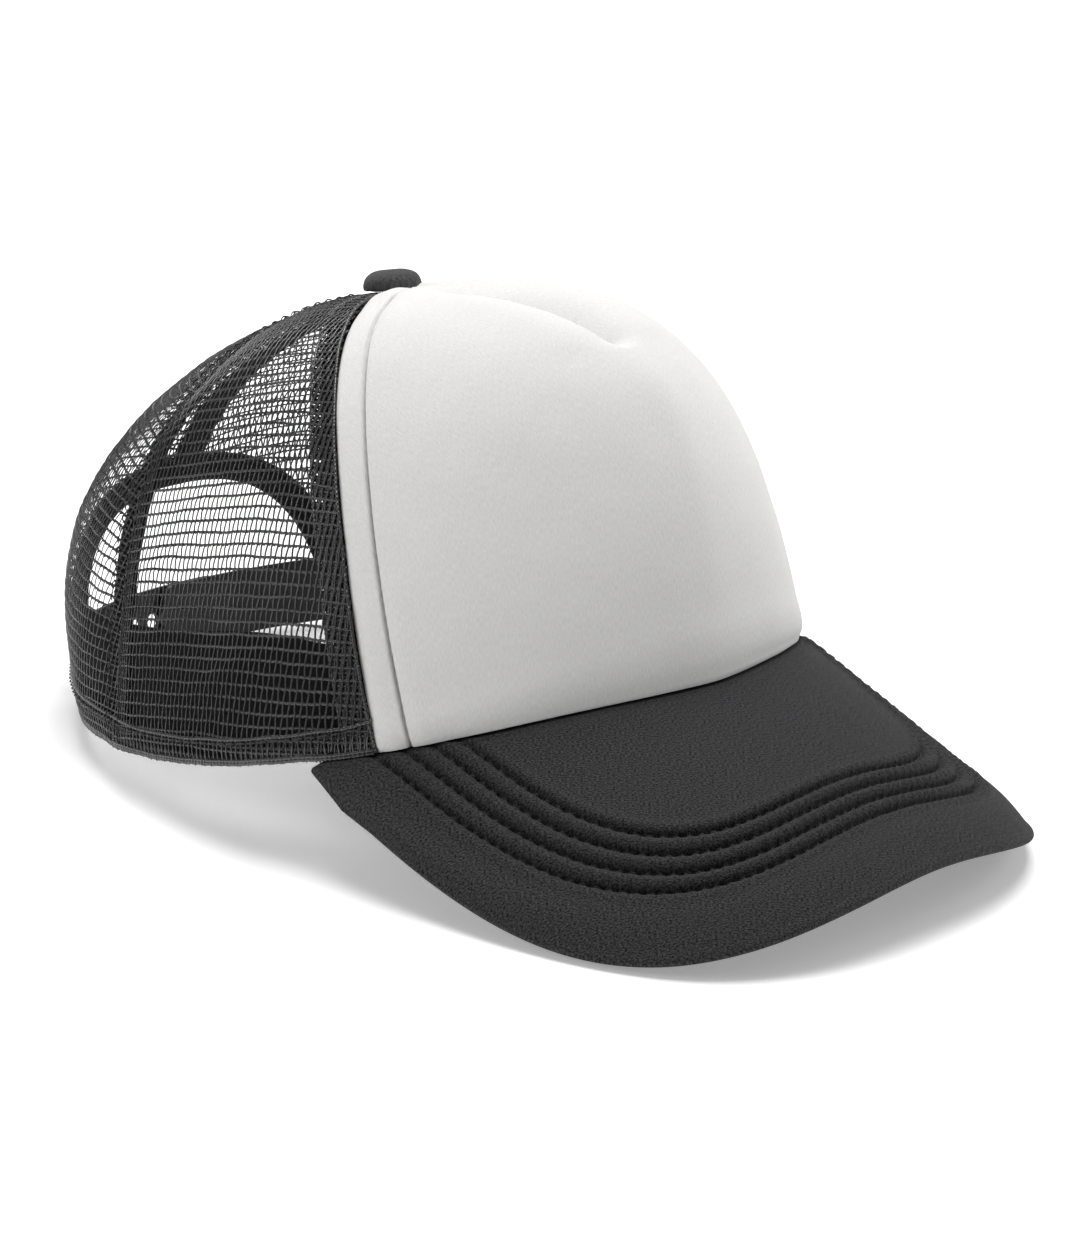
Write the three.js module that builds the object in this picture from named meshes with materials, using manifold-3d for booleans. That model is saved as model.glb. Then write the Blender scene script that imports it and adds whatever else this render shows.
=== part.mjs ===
// Five-panel trucker cap: foam-backed front panel, four mesh panels, padded brim, snap strap.
// Units are millimetres. +Z is up, the brim points along -Y, the wearer's right is -X.
// The cap stands on its back hem and the two side corners of the brim, so the whole cap
// is tipped back by PITCH about the X axis.
import * as THREE from 'three';
import { mergeVertices } from 'three/addons/utils/BufferGeometryUtils.js';
import Module from 'manifold-3d';

const wasm = await Module();
wasm.setup();

// ---------------------------------------------------------------- driving dimensions
const DEG = Math.PI / 180;
const PITCH = 11.4 * DEG;          // tip of the cap when it stands on a table
const LIFT = 21.2;                 // height of the cap frame above the table
const SHIFT_BACK = 12;             // centres the cap's length on the origin

// head opening: a superellipse, blunter at the back
const RIM_FRONT = 81.7;
const RIM_BACK = 119.3;
const RIM_HALF_WIDTH = 92.7;
const RIM_FRONT_POWER = 1.76;
const RIM_BACK_POWER = 2.12;
const RIM_SAG = 3.3;               // soft hem hangs lower at the sides
const SAG_CENTRE = 115;
const SAG_SPREAD = 50;
const SEAM_GAP = 0.4;              // clearance left at every seam
const BRIM_BLEND_FROM = 6;         // degrees past the brim's end where the rim leaves its arch
const BRIM_BLEND = 20;

// crown meridians: superellipses from the rim up to the button, front / side / back
const CROWN_HEIGHT = 102;
const BUTTON_Y = 21.2;
const SHOULDER = [4.5, 2.82, 1.48];
const RISE = [2.39, 1.5, 2.46];
const BULGE = [0.02, -0.06, 0.13];
const TOP_END = 0.978;             // panels stop just short of the button axis
const ANGLE_STEP = 0.5;            // steps used to measure the surface's slopes
const ROW_STEP = 0.004;

// seams, in degrees round from the front, as a function of climb 0..1
const FRONT_SEAM = [62.7, 11.9, 1.4];
const SIDE_SEAM = [118.6, 4.7, 22.1];

// dart that shapes the top of the foam front panel
const DART_START = 0.44;
const DART_RUN = 0.25;
const DART_END = 0.78;
const DART_FADE = 0.12;
const DART_DEPTH = 2.2;
const DART_WIDTH = 5.5;

// layer build-up, measured inwards from the outside of the crown
const FABRIC = 0.7;
const FOAM = 1.8;
const MESH = 0.8;
const TAPE = 0.6;
const TAPE_WIDTH = 12;
const BAND_HEIGHT = 30;
const BAND_THICK = 1.5;
const BAND_FRONT_DEPTH = 4.4;
const BAND_BACK_DEPTH = 2.7;
const BAND_STEP_FROM = 72;         // where the band moves out from behind the foam
const BAND_STEP = 22;
const BAND_TUCK = 4.4;             // the band reaches down beside the brim's flange
const BAND_TUCK_PAST = 4;
const BAND_TUCK_FADE = 16;
const BAND_ARCH_CLEAR = 4;
const BAND_HIGHEST_ROW = 0.7;

// brim: a dropped, arched sheet
const BRIM_DROP = Math.tan(31.2 * DEG);
const BRIM_ARCH_RADIUS = 112.4;
const BRIM_END = 74.6;             // angle round the rim where the brim stops
const BRIM_REACH = 144.4;          // how far forward of the crown centre it goes
const BRIM_HALF_WIDTH = 87.7;
const BRIM_CORNER_POWER = 2.64;
const BRIM_FRONT_POWER = 3.31;
const BRIM_LEAD = 43.6;            // length over which the side widens from the crown
const BRIM_FLANGE = 4;             // part of the brim sewn in under the panels
const BRIM_ROOT_INSET = 1;         // the brim leaves the crown just inside its widest place
const COVER = 0.7;
const PADDING = 1.2;
const BOARD = 1.2;
const LAYER_GAP = 0.3;

// four stitch rows along the brim: half width, reach, corner power, front power
const ROW_COUNT = 4;
const ROW_INNER = { halfWidth: 63, reach: 115.8, corner: 3.1, front: 4.2 };
const ROW_OUTER = { halfWidth: 76.8, reach: 127.9, corner: 3.1, front: 3.3 };
const ROW_BACK = 20;
const THREAD_RADIUS = 0.35;
const TOPSTITCH_INSET = 8;         // topstitching of the front panel, from its side seams
const TOPSTITCH_START = 0.02;
const TOPSTITCH_END = 0.9;

// arched opening at the back
const ARCH_HALF_WIDTH = 45;
const ARCH_HEIGHT = 54;
const ARCH_POWER = 2.3;
const ARCH_HIGHEST_ROW = 0.8;
const BINDING_WIDTH = 7;
const BINDING = 0.7;
const BINDING_GAP = 0.4;

// snap strap
const STRAP_HEIGHT = 18;
const STRAP_FOOT = 2.5;
const STRAP_THICK = 1.3;
const STRAP_OUTER_DEPTH = 2.5;
const STRAP_ROOT = 43.5;           // arc from the centre back to where each strap bends
const STRAP_TIP = -13.2;           // each strap runs this far past the centre back
const STRAP_CORNER = 6;
const STUD_PITCH = 8;
const HOLE_STEPS = [-1, 0, 1, 2, 3, 4];
const HOLE_RADIUS = 2.5;
const STUD_SIDES = 16;
const PEG_RADIUS = 1.6;
const PEG_HEIGHT = 1.9;
const SEWN_GAP = 0.9;
const SEWN_LENGTH = 8;
const SEWN_CORNER = 1;

// button
const BUTTON_RADIUS = 7.6;
const BUTTON_HEIGHT = 5.4;
const BUTTON_SKIN = 0.7;
const DOME_SIDE_POWER = 0.62;
const DOME_TOP_POWER = 0.9;
const POST_RADIUS = 1.5;
const HEAD_RADIUS = 3;
const WASHER_RADIUS = 7;
const WASHER_DEPTH = 3.7;
const WASHER_THICK = 0.8;

const LOOKS = {
  white: { color: 0xe6e4e2, roughness: 0.85 },
  foam: { color: 0xf1f0ec, roughness: 0.95 },
  black: { color: 0x17171a, roughness: 0.9 },
  mesh: { color: 0x1c1c1f, roughness: 0.7 },
  tape: { color: 0x141416, roughness: 0.9 },
  board: { color: 0xd9dadc, roughness: 0.6 },
  whiteThread: { color: 0xe6e4e2, roughness: 0.7 },
  blackThread: { color: 0x17171a, roughness: 0.7 },
  plastic: { color: 0x202124, roughness: 0.45 },
  metal: { color: 0x9a9ca0, roughness: 0.42, metalness: 0.9 },
};

// ---------------------------------------------------------------- scaffolding
const cap = new THREE.Group();
cap.name = 'trucker_mesh_cap';
cap.rotation.x = -PITCH;
cap.position.set(0, SHIFT_BACK, LIFT);

function addMesh(name, geometry, look) {
  const mesh = new THREE.Mesh(geometry, new THREE.MeshStandardMaterial(look));
  mesh.name = name;
  cap.add(mesh);
  return mesh;
}

const lerp = THREE.MathUtils.lerp;
const clamp01 = (v) => Math.min(1, Math.max(0, v));
const ease = (v) => {
  const c = clamp01(v);
  return c * c * (3 - 2 * c);
};
const range = (n) => Array.from({ length: n }, (_, i) => i);

// Closed solid swept through equal closed sections; capFaces triangulates one section.
function loft(sections, capFaces) {
  const count = sections[0].length;
  const positions = sections.flat().flatMap((p) => [p.x, p.y, p.z]);
  const index = [];
  for (let i = 0; i + 1 < sections.length; i += 1) {
    for (let j = 0; j < count; j += 1) {
      const k = (j + 1) % count;
      const a = i * count + j;
      const b = i * count + k;
      index.push(a, b, b + count, a, b + count, a + count);
    }
  }
  const last = (sections.length - 1) * count;
  for (const [a, b, c] of capFaces) {
    index.push(a, c, b, last + a, last + b, last + c);
  }
  const geometry = new THREE.BufferGeometry();
  geometry.setAttribute('position', new THREE.Float32BufferAttribute(positions, 3));
  geometry.setIndex(index);
  return faceOutwards(geometry);
}

const CAP_BOW = 0.02;

// Cap for a section drawn as a 2-D outline. Bowing it leaves no three points in line,
// so every point of the outline is used.
function outlineCap(outline) {
  const bowed = outline.map((p) => new THREE.Vector2(p.x, p.y + CAP_BOW * p.x * p.x));
  const turn = Math.sign(THREE.ShapeUtils.area(bowed));
  return THREE.ShapeUtils.triangulateShape(bowed, []).map((triangle) => {
    const [a, b, c] = triangle.map((k) => bowed[k]);
    const side = Math.sign((b.x - a.x) * (c.y - a.y) - (b.y - a.y) * (c.x - a.x));
    return side === turn ? triangle : [...triangle].reverse();
  });
}

// Cap for a section that runs out along one face and back along the other, with
// `extra` points between the two runs.
function stripCap(columns, extra = 0) {
  return range(columns - 1).flatMap((j) => {
    const far = 2 * columns + extra - 1 - j;
    return [[j, j + 1, far - 1], [j, far - 1, far]];
  });
}

// Closed solid between an outer and an inner grid of points.
function slab(outer, inner) {
  const sections = outer.map((row, i) => [...row, ...inner[i].slice().reverse()]);
  return loft(sections, stripCap(outer[0].length));
}

function signedVolume(geometry) {
  const p = geometry.getAttribute('position');
  const index = geometry.getIndex().array;
  const [a, b, c] = [new THREE.Vector3(), new THREE.Vector3(), new THREE.Vector3()];
  let volume = 0;
  for (let i = 0; i < index.length; i += 3) {
    a.fromBufferAttribute(p, index[i]);
    b.fromBufferAttribute(p, index[i + 1]);
    c.fromBufferAttribute(p, index[i + 2]);
    volume += a.dot(b.cross(c)) / 6;
  }
  return volume;
}

function faceOutwards(geometry) {
  if (signedVolume(geometry) < 0) {
    geometry.getIndex().array.reverse();
  }
  geometry.computeVertexNormals();
  return geometry;
}

function toManifold(geometry) {
  return new wasm.Manifold(new wasm.Mesh({
    numProp: 3,
    vertProperties: new Float32Array(geometry.getAttribute('position').array),
    triVerts: new Uint32Array(geometry.getIndex().array),
  }));
}

function fromManifold(solid) {
  const mesh = solid.getMesh();
  const geometry = new THREE.BufferGeometry();
  const points = new Float32Array(mesh.vertProperties);
  geometry.setAttribute('position', new THREE.BufferAttribute(points, 3));
  geometry.setIndex(new THREE.BufferAttribute(new Uint32Array(mesh.triVerts), 1));
  geometry.computeVertexNormals();
  return geometry;
}

// ---------------------------------------------------------------- the crown surface
const archSag = (x) => BRIM_ARCH_RADIUS - Math.sqrt(BRIM_ARCH_RADIUS ** 2 - x * x);

function plan(angle) {
  const c = Math.cos(angle * DEG);
  const s = Math.sin(angle * DEG);
  const reach = c > 0 ? RIM_FRONT : RIM_BACK;
  const power = c > 0 ? RIM_FRONT_POWER : RIM_BACK_POWER;
  const sum = Math.abs(c / reach) ** power + Math.abs(s / RIM_HALF_WIDTH) ** power;
  const r = sum ** (-1 / power);
  return new THREE.Vector2(-r * s, -r * c);
}

const BRIM_CORNER = plan(BRIM_END);

function brimHeight(x, y) {
  const fall = BRIM_DROP * (BRIM_CORNER.y - y);
  return -fall + archSag(BRIM_CORNER.x) - archSag(x);
}

function rimHeight(angle) {
  const p = plan(angle);
  const onBrim = ease((BRIM_END + BRIM_BLEND_FROM - Math.abs(angle)) / BRIM_BLEND);
  const sag = RIM_SAG * ease(1 - Math.abs((Math.abs(angle) - SAG_CENTRE) / SAG_SPREAD));
  return brimHeight(p.x, p.y) * onBrim - sag;
}

function blend([front, side, back], angle) {
  const c = Math.cos(angle * DEG);
  return side + ((c > 0 ? front : back) - side) * c * c;
}

// Climb 0..1 up the meridian at `angle`, for the row parameter t.
function climb(angle, t) {
  const f = Math.cos(t * Math.PI / 2);
  return Math.acos(Math.min(1, f ** (blend(SHOULDER, angle) / 2))) * 2 / Math.PI;
}

function crown(angle, t) {
  const p = plan(angle);
  const f = Math.cos(t * Math.PI / 2);
  const shoulder = blend(SHOULDER, angle);
  const swell = f * (1 + blend(BULGE, angle) * Math.sin(Math.PI * climb(angle, t)));
  const up = (1 - f ** shoulder) ** (1 / blend(RISE, angle));
  const base = rimHeight(angle) + SEAM_GAP;
  return new THREE.Vector3(
    p.x * swell,
    BUTTON_Y + (p.y - BUTTON_Y) * swell,
    base + (CROWN_HEIGHT - base) * up,
  );
}

function crownNormal(angle, t) {
  const along = crown(angle + ANGLE_STEP, t).sub(crown(angle - ANGLE_STEP, t));
  const upward = crown(angle, t + ROW_STEP).sub(crown(angle, Math.max(0, t - ROW_STEP)));
  const normal = upward.cross(along);
  if (t === 0) normal.z = 0;
  return normal.normalize();
}

const dartFall = (angle, t) => {
  const x = crown(angle, t).x;
  const run = ease((t - DART_START) / DART_RUN);
  const fade = 1 - ease((t - DART_END) / DART_FADE);
  return DART_DEPTH * run * fade * Math.exp(-((x / DART_WIDTH) ** 2));
};

function skin(angle, t, depth) {
  return crown(angle, t).addScaledVector(crownNormal(angle, t), -depth);
}

const SEAM_ROUNDS = 6;

// The climb depends on the angle, so the seam's angle is found in a few rounds.
function seamAngle(seam, t) {
  let angle = seam[0];
  for (let i = 0; i < SEAM_ROUNDS; i += 1) {
    const s = climb(angle, t);
    angle = seam[0] + seam[1] * s + seam[2] * s * s;
  }
  return angle;
}

// Angle that a sideways distance subtends at row t.
function widthAngle(angle, t, distance) {
  const width = crown(angle + ANGLE_STEP, t).distanceTo(crown(angle - ANGLE_STEP, t));
  return distance * 2 * ANGLE_STEP / width;
}

const frontSeam = (t) => seamAngle(FRONT_SEAM, t);
const sideSeam = (t) => seamAngle(SIDE_SEAM, t);
const SEAM_CLEAR_MOST = 8;         // degrees, near the button
const seamClear = (angle, t) => Math.min(widthAngle(angle, t, SEAM_GAP / 2), SEAM_CLEAR_MOST);

// ---------------------------------------------------------------- front panel
const PANEL_COLUMNS = 24;
const PANEL_ROWS = 14;

function frontGrid(depth) {
  return range(PANEL_ROWS + 1).map((i) => {
    const t = TOP_END * i / PANEL_ROWS;
    const half = frontSeam(t) - seamClear(frontSeam(t), t);
    return range(PANEL_COLUMNS + 1).map((j) => {
      const angle = half * (2 * j / PANEL_COLUMNS - 1);
      return skin(angle, t, depth + dartFall(angle, t));
    });
  });
}

addMesh('front_panel_fabric', slab(frontGrid(0), frontGrid(FABRIC)), LOOKS.white);
const FOAM_DEPTH = FABRIC + LAYER_GAP;
const foamPanel = slab(frontGrid(FOAM_DEPTH), frontGrid(FOAM_DEPTH + FOAM));
addMesh('front_panel_foam', foamPanel, LOOKS.foam);

// ---------------------------------------------------------------- mesh panels
const MESH_ROWS = 14;
const SIDE_COLUMNS = 8;

function sideGrid(hand, depth) {
  return range(MESH_ROWS + 1).map((i) => {
    const t = TOP_END * i / MESH_ROWS;
    const from = frontSeam(t) + seamClear(frontSeam(t), t);
    const to = sideSeam(t) - seamClear(sideSeam(t), t);
    return range(SIDE_COLUMNS + 1).map((j) => (
      skin(hand * lerp(from, to, j / SIDE_COLUMNS), t, depth)
    ));
  });
}

const archTop = (x) => {
  const reach = clamp01(Math.abs(x) / ARCH_HALF_WIDTH);
  return ARCH_HEIGHT * (1 - reach ** ARCH_POWER) ** (1 / ARCH_POWER);
};

// Column of a back panel: u runs from the side seam (0) to the centre back (1).
function backAngle(u, t) {
  const from = sideSeam(t) + seamClear(sideSeam(t), t);
  const to = 180 - seamClear(180, t);
  return lerp(from, to, u);
}

const BISECT_ROUNDS = 34;

function bisect(low, high, below) {
  let [a, b] = [low, high];
  for (let i = 0; i < BISECT_ROUNDS; i += 1) {
    const mid = (a + b) / 2;
    if (below(mid)) a = mid;
    else b = mid;
  }
  return (a + b) / 2;
}

const archColumn = bisect(0, 1, (u) => Math.abs(crown(backAngle(u, 0), 0).x) > ARCH_HALF_WIDTH);

function archRow(u) {
  if (u <= archColumn) return 0;
  return bisect(0, ARCH_HIGHEST_ROW, (t) => {
    const p = crown(backAngle(u, t), t);
    return p.z < archTop(p.x);
  });
}

const HEM_COLUMNS = 8;
const ARCH_COLUMNS = 10;
const backColumns = [
  ...range(HEM_COLUMNS).map((i) => archColumn * i / HEM_COLUMNS),
  ...range(ARCH_COLUMNS + 1).map((i) => {
    const turn = i / ARCH_COLUMNS * Math.PI / 2;
    return archColumn + (1 - archColumn) * (1 - Math.cos(turn));
  }),
];

function backGrid(hand, depth) {
  return backColumns.map((u) => {
    const foot = archRow(u);
    return range(MESH_ROWS + 1).map((i) => {
      const t = lerp(foot, TOP_END, i / MESH_ROWS);
      return skin(hand * backAngle(u, t), t, depth);
    });
  });
}

for (const [hand, side] of [[1, 'right'], [-1, 'left']]) {
  addMesh(`side_mesh_${side}`, slab(sideGrid(hand, 0), sideGrid(hand, MESH)), LOOKS.mesh);
  addMesh(`back_mesh_${side}`, slab(backGrid(hand, 0), backGrid(hand, MESH)), LOOKS.mesh);
}

// ---------------------------------------------------------------- seam tapes
const TAPE_ROWS = 16;
const TAPE_HALF_MOST = 26;         // degrees, near the button

function tapeGrid(angleAt, t0, t1, depth) {
  return range(TAPE_ROWS + 1).map((i) => {
    const t = lerp(t0, t1, i / TAPE_ROWS);
    const angle = angleAt(t);
    const half = Math.min(widthAngle(angle, t, TAPE_WIDTH / 2), TAPE_HALF_MOST);
    return [-1, 0, 1].map((k) => skin(angle + k * half, t, depth));
  });
}

function addTape(name, angleAt, t0, t1, depth) {
  const outer = tapeGrid(angleAt, t0, t1, depth);
  const inner = tapeGrid(angleAt, t0, t1, depth + TAPE);
  addMesh(name, slab(outer, inner), LOOKS.tape);
}

const FRONT_TAPE_DEPTH = FOAM_DEPTH + FOAM + LAYER_GAP;
const TAPE_CLEAR = 0.7;
const MESH_TAPE_DEPTH = MESH + TAPE_CLEAR;
const TAPE_TOP = 0.88;
const TAPE_FOOT = 0.03;
const TAPE_ARCH_CLEAR = 0.07;
for (const [hand, side] of [[1, 'right'], [-1, 'left']]) {
  const front = (t) => hand * frontSeam(t);
  const back = (t) => hand * sideSeam(t);
  addTape(`front_seam_tape_${side}`, front, TAPE_FOOT, TAPE_TOP, FRONT_TAPE_DEPTH);
  addTape(`side_seam_tape_${side}`, back, TAPE_FOOT, TAPE_TOP, MESH_TAPE_DEPTH);
}
const backTapeFoot = archRow(1) + TAPE_ARCH_CLEAR;
addTape('back_seam_tape', () => 180, backTapeFoot, TAPE_TOP, MESH_TAPE_DEPTH);

// ---------------------------------------------------------------- sweatband
function wallPoint(angle, height, depth) {
  const goal = rimHeight(angle) + SEAM_GAP + Math.max(height, 0);
  const t = height <= 0 ? 0 : bisect(0, BAND_HIGHEST_ROW, (v) => crown(angle, v).z < goal);
  const normal = crownNormal(angle, 0);
  const point = crown(angle, t).addScaledVector(normal, -depth);
  point.z = goal + Math.min(height, 0);
  return point;
}

const bandEndX = ARCH_HALF_WIDTH + BINDING_WIDTH + BAND_ARCH_CLEAR;
const bandEnd = bisect(90, 180, (a) => Math.abs(plan(a).x) > bandEndX);
const BAND_SECTIONS = 48;
const BAND_STEPS = 3;

function bandDepth(angle) {
  const step = ease((Math.abs(angle) - BAND_STEP_FROM) / BAND_STEP);
  return lerp(BAND_FRONT_DEPTH, BAND_BACK_DEPTH, step);
}

function bandFoot(angle) {
  return -BAND_TUCK * ease((BRIM_END + BAND_TUCK_PAST - Math.abs(angle)) / BAND_TUCK_FADE);
}

function bandGrid(extra) {
  return range(BAND_SECTIONS + 1).map((i) => {
    const angle = lerp(-bandEnd, bandEnd, i / BAND_SECTIONS);
    return range(BAND_STEPS + 1).map((j) => {
      const height = lerp(bandFoot(angle), BAND_HEIGHT, j / BAND_STEPS);
      return wallPoint(angle, height, bandDepth(angle) + extra);
    });
  });
}

addMesh('sweatband', slab(bandGrid(0), bandGrid(BAND_THICK)), LOOKS.black);

// ---------------------------------------------------------------- arch binding
// A channel folded over the cut edge of the two back panels.
const archPath = [1, -1].map((hand) => range(ARCH_COLUMNS + 1).map((i) => {
  const u = backColumns[HEM_COLUMNS + i];
  const t = archRow(u);
  return { angle: hand * (i === ARCH_COLUMNS ? 180 : backAngle(u, t)), t };
}));
const archStations = [...archPath[0], ...archPath[1].reverse().slice(1)];

// Surface coordinates reached by walking `distance` along `direction` from a station.
function walk({ angle, t }, direction, distance) {
  const [left, right] = [crown(angle - ANGLE_STEP, t), crown(angle + ANGLE_STEP, t)];
  const across = right.sub(left).divideScalar(2 * ANGLE_STEP);
  const up = crown(angle, t + ROW_STEP).sub(crown(angle, t)).divideScalar(ROW_STEP);
  const [aa, au, uu] = [across.dot(across), across.dot(up), up.dot(up)];
  const [ga, gu] = [across.dot(direction) * distance, up.dot(direction) * distance];
  const det = aa * uu - au * au;
  return [
    angle + (ga * uu - gu * au) / det,
    Math.max(0, t + (gu * aa - ga * au) / det),
  ];
}

const outerLeaf = -BINDING_GAP - BINDING;
const innerLeaf = MESH + BINDING_GAP + BINDING;
// channel section: distance into the panel, depth below the outer face
const channel = [
  [BINDING_WIDTH, outerLeaf],
  [BINDING_WIDTH / 2, outerLeaf],
  [-BINDING_GAP - BINDING, outerLeaf],
  [-BINDING_GAP - BINDING, innerLeaf],
  [BINDING_WIDTH / 2, innerLeaf],
  [BINDING_WIDTH, innerLeaf],
  [BINDING_WIDTH, innerLeaf - BINDING],
  [BINDING_WIDTH / 2, innerLeaf - BINDING],
  [-BINDING_GAP, innerLeaf - BINDING],
  [-BINDING_GAP, -BINDING_GAP],
  [BINDING_WIDTH / 2, -BINDING_GAP],
  [BINDING_WIDTH, -BINDING_GAP],
];

const archPoints = archStations.map(({ angle, t }) => crown(angle, t));
const channelSections = archStations.map((station, i) => {
  const before = archPoints[Math.max(0, i - 1)];
  const after = archPoints[Math.min(archPoints.length - 1, i + 1)];
  const tangent = after.clone().sub(before);
  const normal = crownNormal(station.angle, Math.max(station.t, ROW_STEP));
  const inward = tangent.cross(normal).normalize();
  return channel.map(([distance, depth]) => skin(...walk(station, inward, distance), depth));
});
const channelOutline = channel.map(([x, y]) => new THREE.Vector2(x, -y));
addMesh('arch_binding', loft(channelSections, outlineCap(channelOutline)), LOOKS.tape);

// ---------------------------------------------------------------- brim
function brimEdge(t) {
  const s = Math.sin(t * Math.PI / 2);
  const c = Math.cos(t * Math.PI / 2);
  const y = BRIM_CORNER.y - (BRIM_REACH + BRIM_CORNER.y) * c ** (2 / BRIM_FRONT_POWER);
  const k = clamp01((BRIM_CORNER.y - y) / BRIM_LEAD);
  const tuck = (BRIM_HALF_WIDTH - Math.abs(BRIM_CORNER.x) - BRIM_ROOT_INSET) * (1 - k) ** 2;
  const x = BRIM_HALF_WIDTH * Math.abs(s) ** (2 / BRIM_CORNER_POWER) - tuck;
  return new THREE.Vector2(-Math.sign(s) * x, y);
}

// Normal of the brim's top face.
function brimUp(x) {
  const slope = x / Math.sqrt(BRIM_ARCH_RADIUS ** 2 - x * x);
  return new THREE.Vector3(slope, -BRIM_DROP, 1).normalize();
}

// How far a point of the brim lies outside the rim.
const beyondRim = (p) => {
  const angle = Math.atan2(-p.x, -p.y) / DEG;
  return Math.hypot(p.x, p.y) - plan(angle).length();
};

const NORMAL_TURN = 12;             // distance over which the layers lean over to the brim's face
const NORMAL_START = 0.35;
const NORMAL_REACH = 18;            // a shorter reach than this leans less
const BRIM_COLUMNS = 36;
const BRIM_TIP = 0.985;
const EDGE_ROWS = [3, 2.1, 0.8, 0];
const SETTLE_LENGTH = 12;           // the brim eases down to meet the hem at its two ends
const BRIM_INNER_ROWS = 4;
const RIM_ROW_SHARE = 0.7;          // least share of the column at which its rim row lies

function brimColumn(t) {
  const angle = t * BRIM_END;
  const rim = plan(angle);
  const normal = crownNormal(angle, 0);
  const root = new THREE.Vector2(rim.x - normal.x * BRIM_FLANGE, rim.y - normal.y * BRIM_FLANGE);
  const edge = brimEdge(t);
  const reach = rim.distanceTo(edge);
  const total = reach + BRIM_FLANGE;
  const settle = Math.max(0, brimHeight(rim.x, rim.y) - rimHeight(angle));
  const rimRow = Math.max(reach, EDGE_ROWS[0] + (total - EDGE_ROWS[0]) * RIM_ROW_SHARE);
  const inner = range(BRIM_INNER_ROWS - 1).map((i) => (
    lerp(rimRow, EDGE_ROWS[0], i / (BRIM_INNER_ROWS - 1))
  ));
  return [total, ...inner, ...EDGE_ROWS].map((distance) => {
    if (distance > reach) {
      const k = (distance - reach) / BRIM_FLANGE;
      const p = rim.clone().lerp(root, k);
      return new THREE.Vector3(p.x, p.y, brimHeight(rim.x, rim.y) - settle);
    }
    const p = edge.clone().lerp(rim, distance / reach);
    const near = 1 - ease((reach - distance) / SETTLE_LENGTH);
    return new THREE.Vector3(p.x, p.y, brimHeight(p.x, p.y) - settle * near);
  });
}

const brimTop = range(BRIM_COLUMNS + 1).map((i) => {
  const t = BRIM_TIP * (2 * i / BRIM_COLUMNS - 1);
  return brimColumn(t);
});

// Layers are stacked square to the brim, and straight down where it is sewn in.
const brimNormal = brimTop.map((column) => {
  const reach = column[0].distanceTo(column[column.length - 1]) - BRIM_FLANGE;
  const most = Math.min(1, reach / NORMAL_REACH);
  return column.map((p) => {
    const out = ease(beyondRim(p) / NORMAL_TURN + NORMAL_START) * most;
    return new THREE.Vector3(0, 0, 1).lerp(brimUp(p.x), out).normalize();
  });
});

const LAST = BRIM_INNER_ROWS + EDGE_ROWS.length - 1;

function brimSolid(outline, firstColumn, capFaces) {
  const sections = range(BRIM_COLUMNS + 1 - 2 * firstColumn).map((i) => {
    const column = i + firstColumn;
    return outline.map(([row, depth]) => (
      brimTop[column][row].clone().addScaledVector(brimNormal[column][row], -depth)
    ));
  });
  return loft(sections, capFaces);
}

// End face of a cover's turned-down lip, as a fan of three triangles.
const LIP_POINTS = 3;
const lipFan = (hub, first) => range(LIP_POINTS).map((k) => [hub, first + k, first + k + 1]);
const rowsTo = (last) => range(last + 1);

// depth of each layer's two faces below the top of the brim
const top0 = 0;
const top1 = COVER;
const pad0 = top1 + LAYER_GAP;
const pad1 = pad0 + PADDING;
const board0 = pad1 + LAYER_GAP;
const board1 = board0 + BOARD;
const under0 = board1 + LAYER_GAP;
const under1 = under0 + COVER;

addMesh('brim_top_cover', brimSolid([
  ...rowsTo(LAST - 1).map((r) => [r, top0]),
  [LAST, top1],
  [LAST, pad1],
  [LAST - 1, pad1],
  ...rowsTo(LAST - 1).reverse().map((r) => [r, top1]),
], 0, [...stripCap(LAST, LIP_POINTS), ...lipFan(LAST + LIP_POINTS, LAST - 1)]), LOOKS.black);

addMesh('brim_under_cover', brimSolid([
  ...rowsTo(LAST - 1).map((r) => [r, under0]),
  [LAST - 1, board0],
  [LAST, board0],
  [LAST, under0],
  ...rowsTo(LAST - 1).reverse().map((r) => [r, under1]),
], 0, [...stripCap(LAST, LIP_POINTS), ...lipFan(LAST - 1, LAST)]), LOOKS.black);

const layer = (from, to) => [
  ...rowsTo(LAST - 2).map((r) => [r, from]),
  ...rowsTo(LAST - 2).reverse().map((r) => [r, to]),
];
const CORE_COLUMN = 2;              // the two inner layers stop short of the brim's ends
const layerCap = stripCap(LAST - 1);
addMesh('brim_padding', brimSolid(layer(pad0, pad1), CORE_COLUMN, layerCap), LOOKS.foam);
addMesh('brim_board', brimSolid(layer(board0, board1), CORE_COLUMN, layerCap), LOOKS.board);

// ---------------------------------------------------------------- stitch rows
function thread(points) {
  const section = new THREE.Shape();
  section.absarc(0, 0, THREAD_RADIUS, 0, Math.PI * 2);
  return new THREE.ExtrudeGeometry(section, {
    steps: points.length,
    curveSegments: 2,
    extrudePath: new THREE.CatmullRomCurve3(points),
    bevelEnabled: false,
  });
}

function rowPoint(row, t) {
  const s = Math.sin(t * Math.PI / 2);
  const c = Math.cos(t * Math.PI / 2);
  const k = row / (ROW_COUNT - 1);
  const halfWidth = lerp(ROW_INNER.halfWidth, ROW_OUTER.halfWidth, k);
  const reach = lerp(ROW_INNER.reach, ROW_OUTER.reach, k);
  const corner = lerp(ROW_INNER.corner, ROW_OUTER.corner, k);
  const front = lerp(ROW_INNER.front, ROW_OUTER.front, k);
  const y = -ROW_BACK - (reach - ROW_BACK) * c ** (2 / front);
  const x = -Math.sign(s) * halfWidth * Math.abs(s) ** (2 / corner);
  return new THREE.Vector2(x, y);
}

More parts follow.
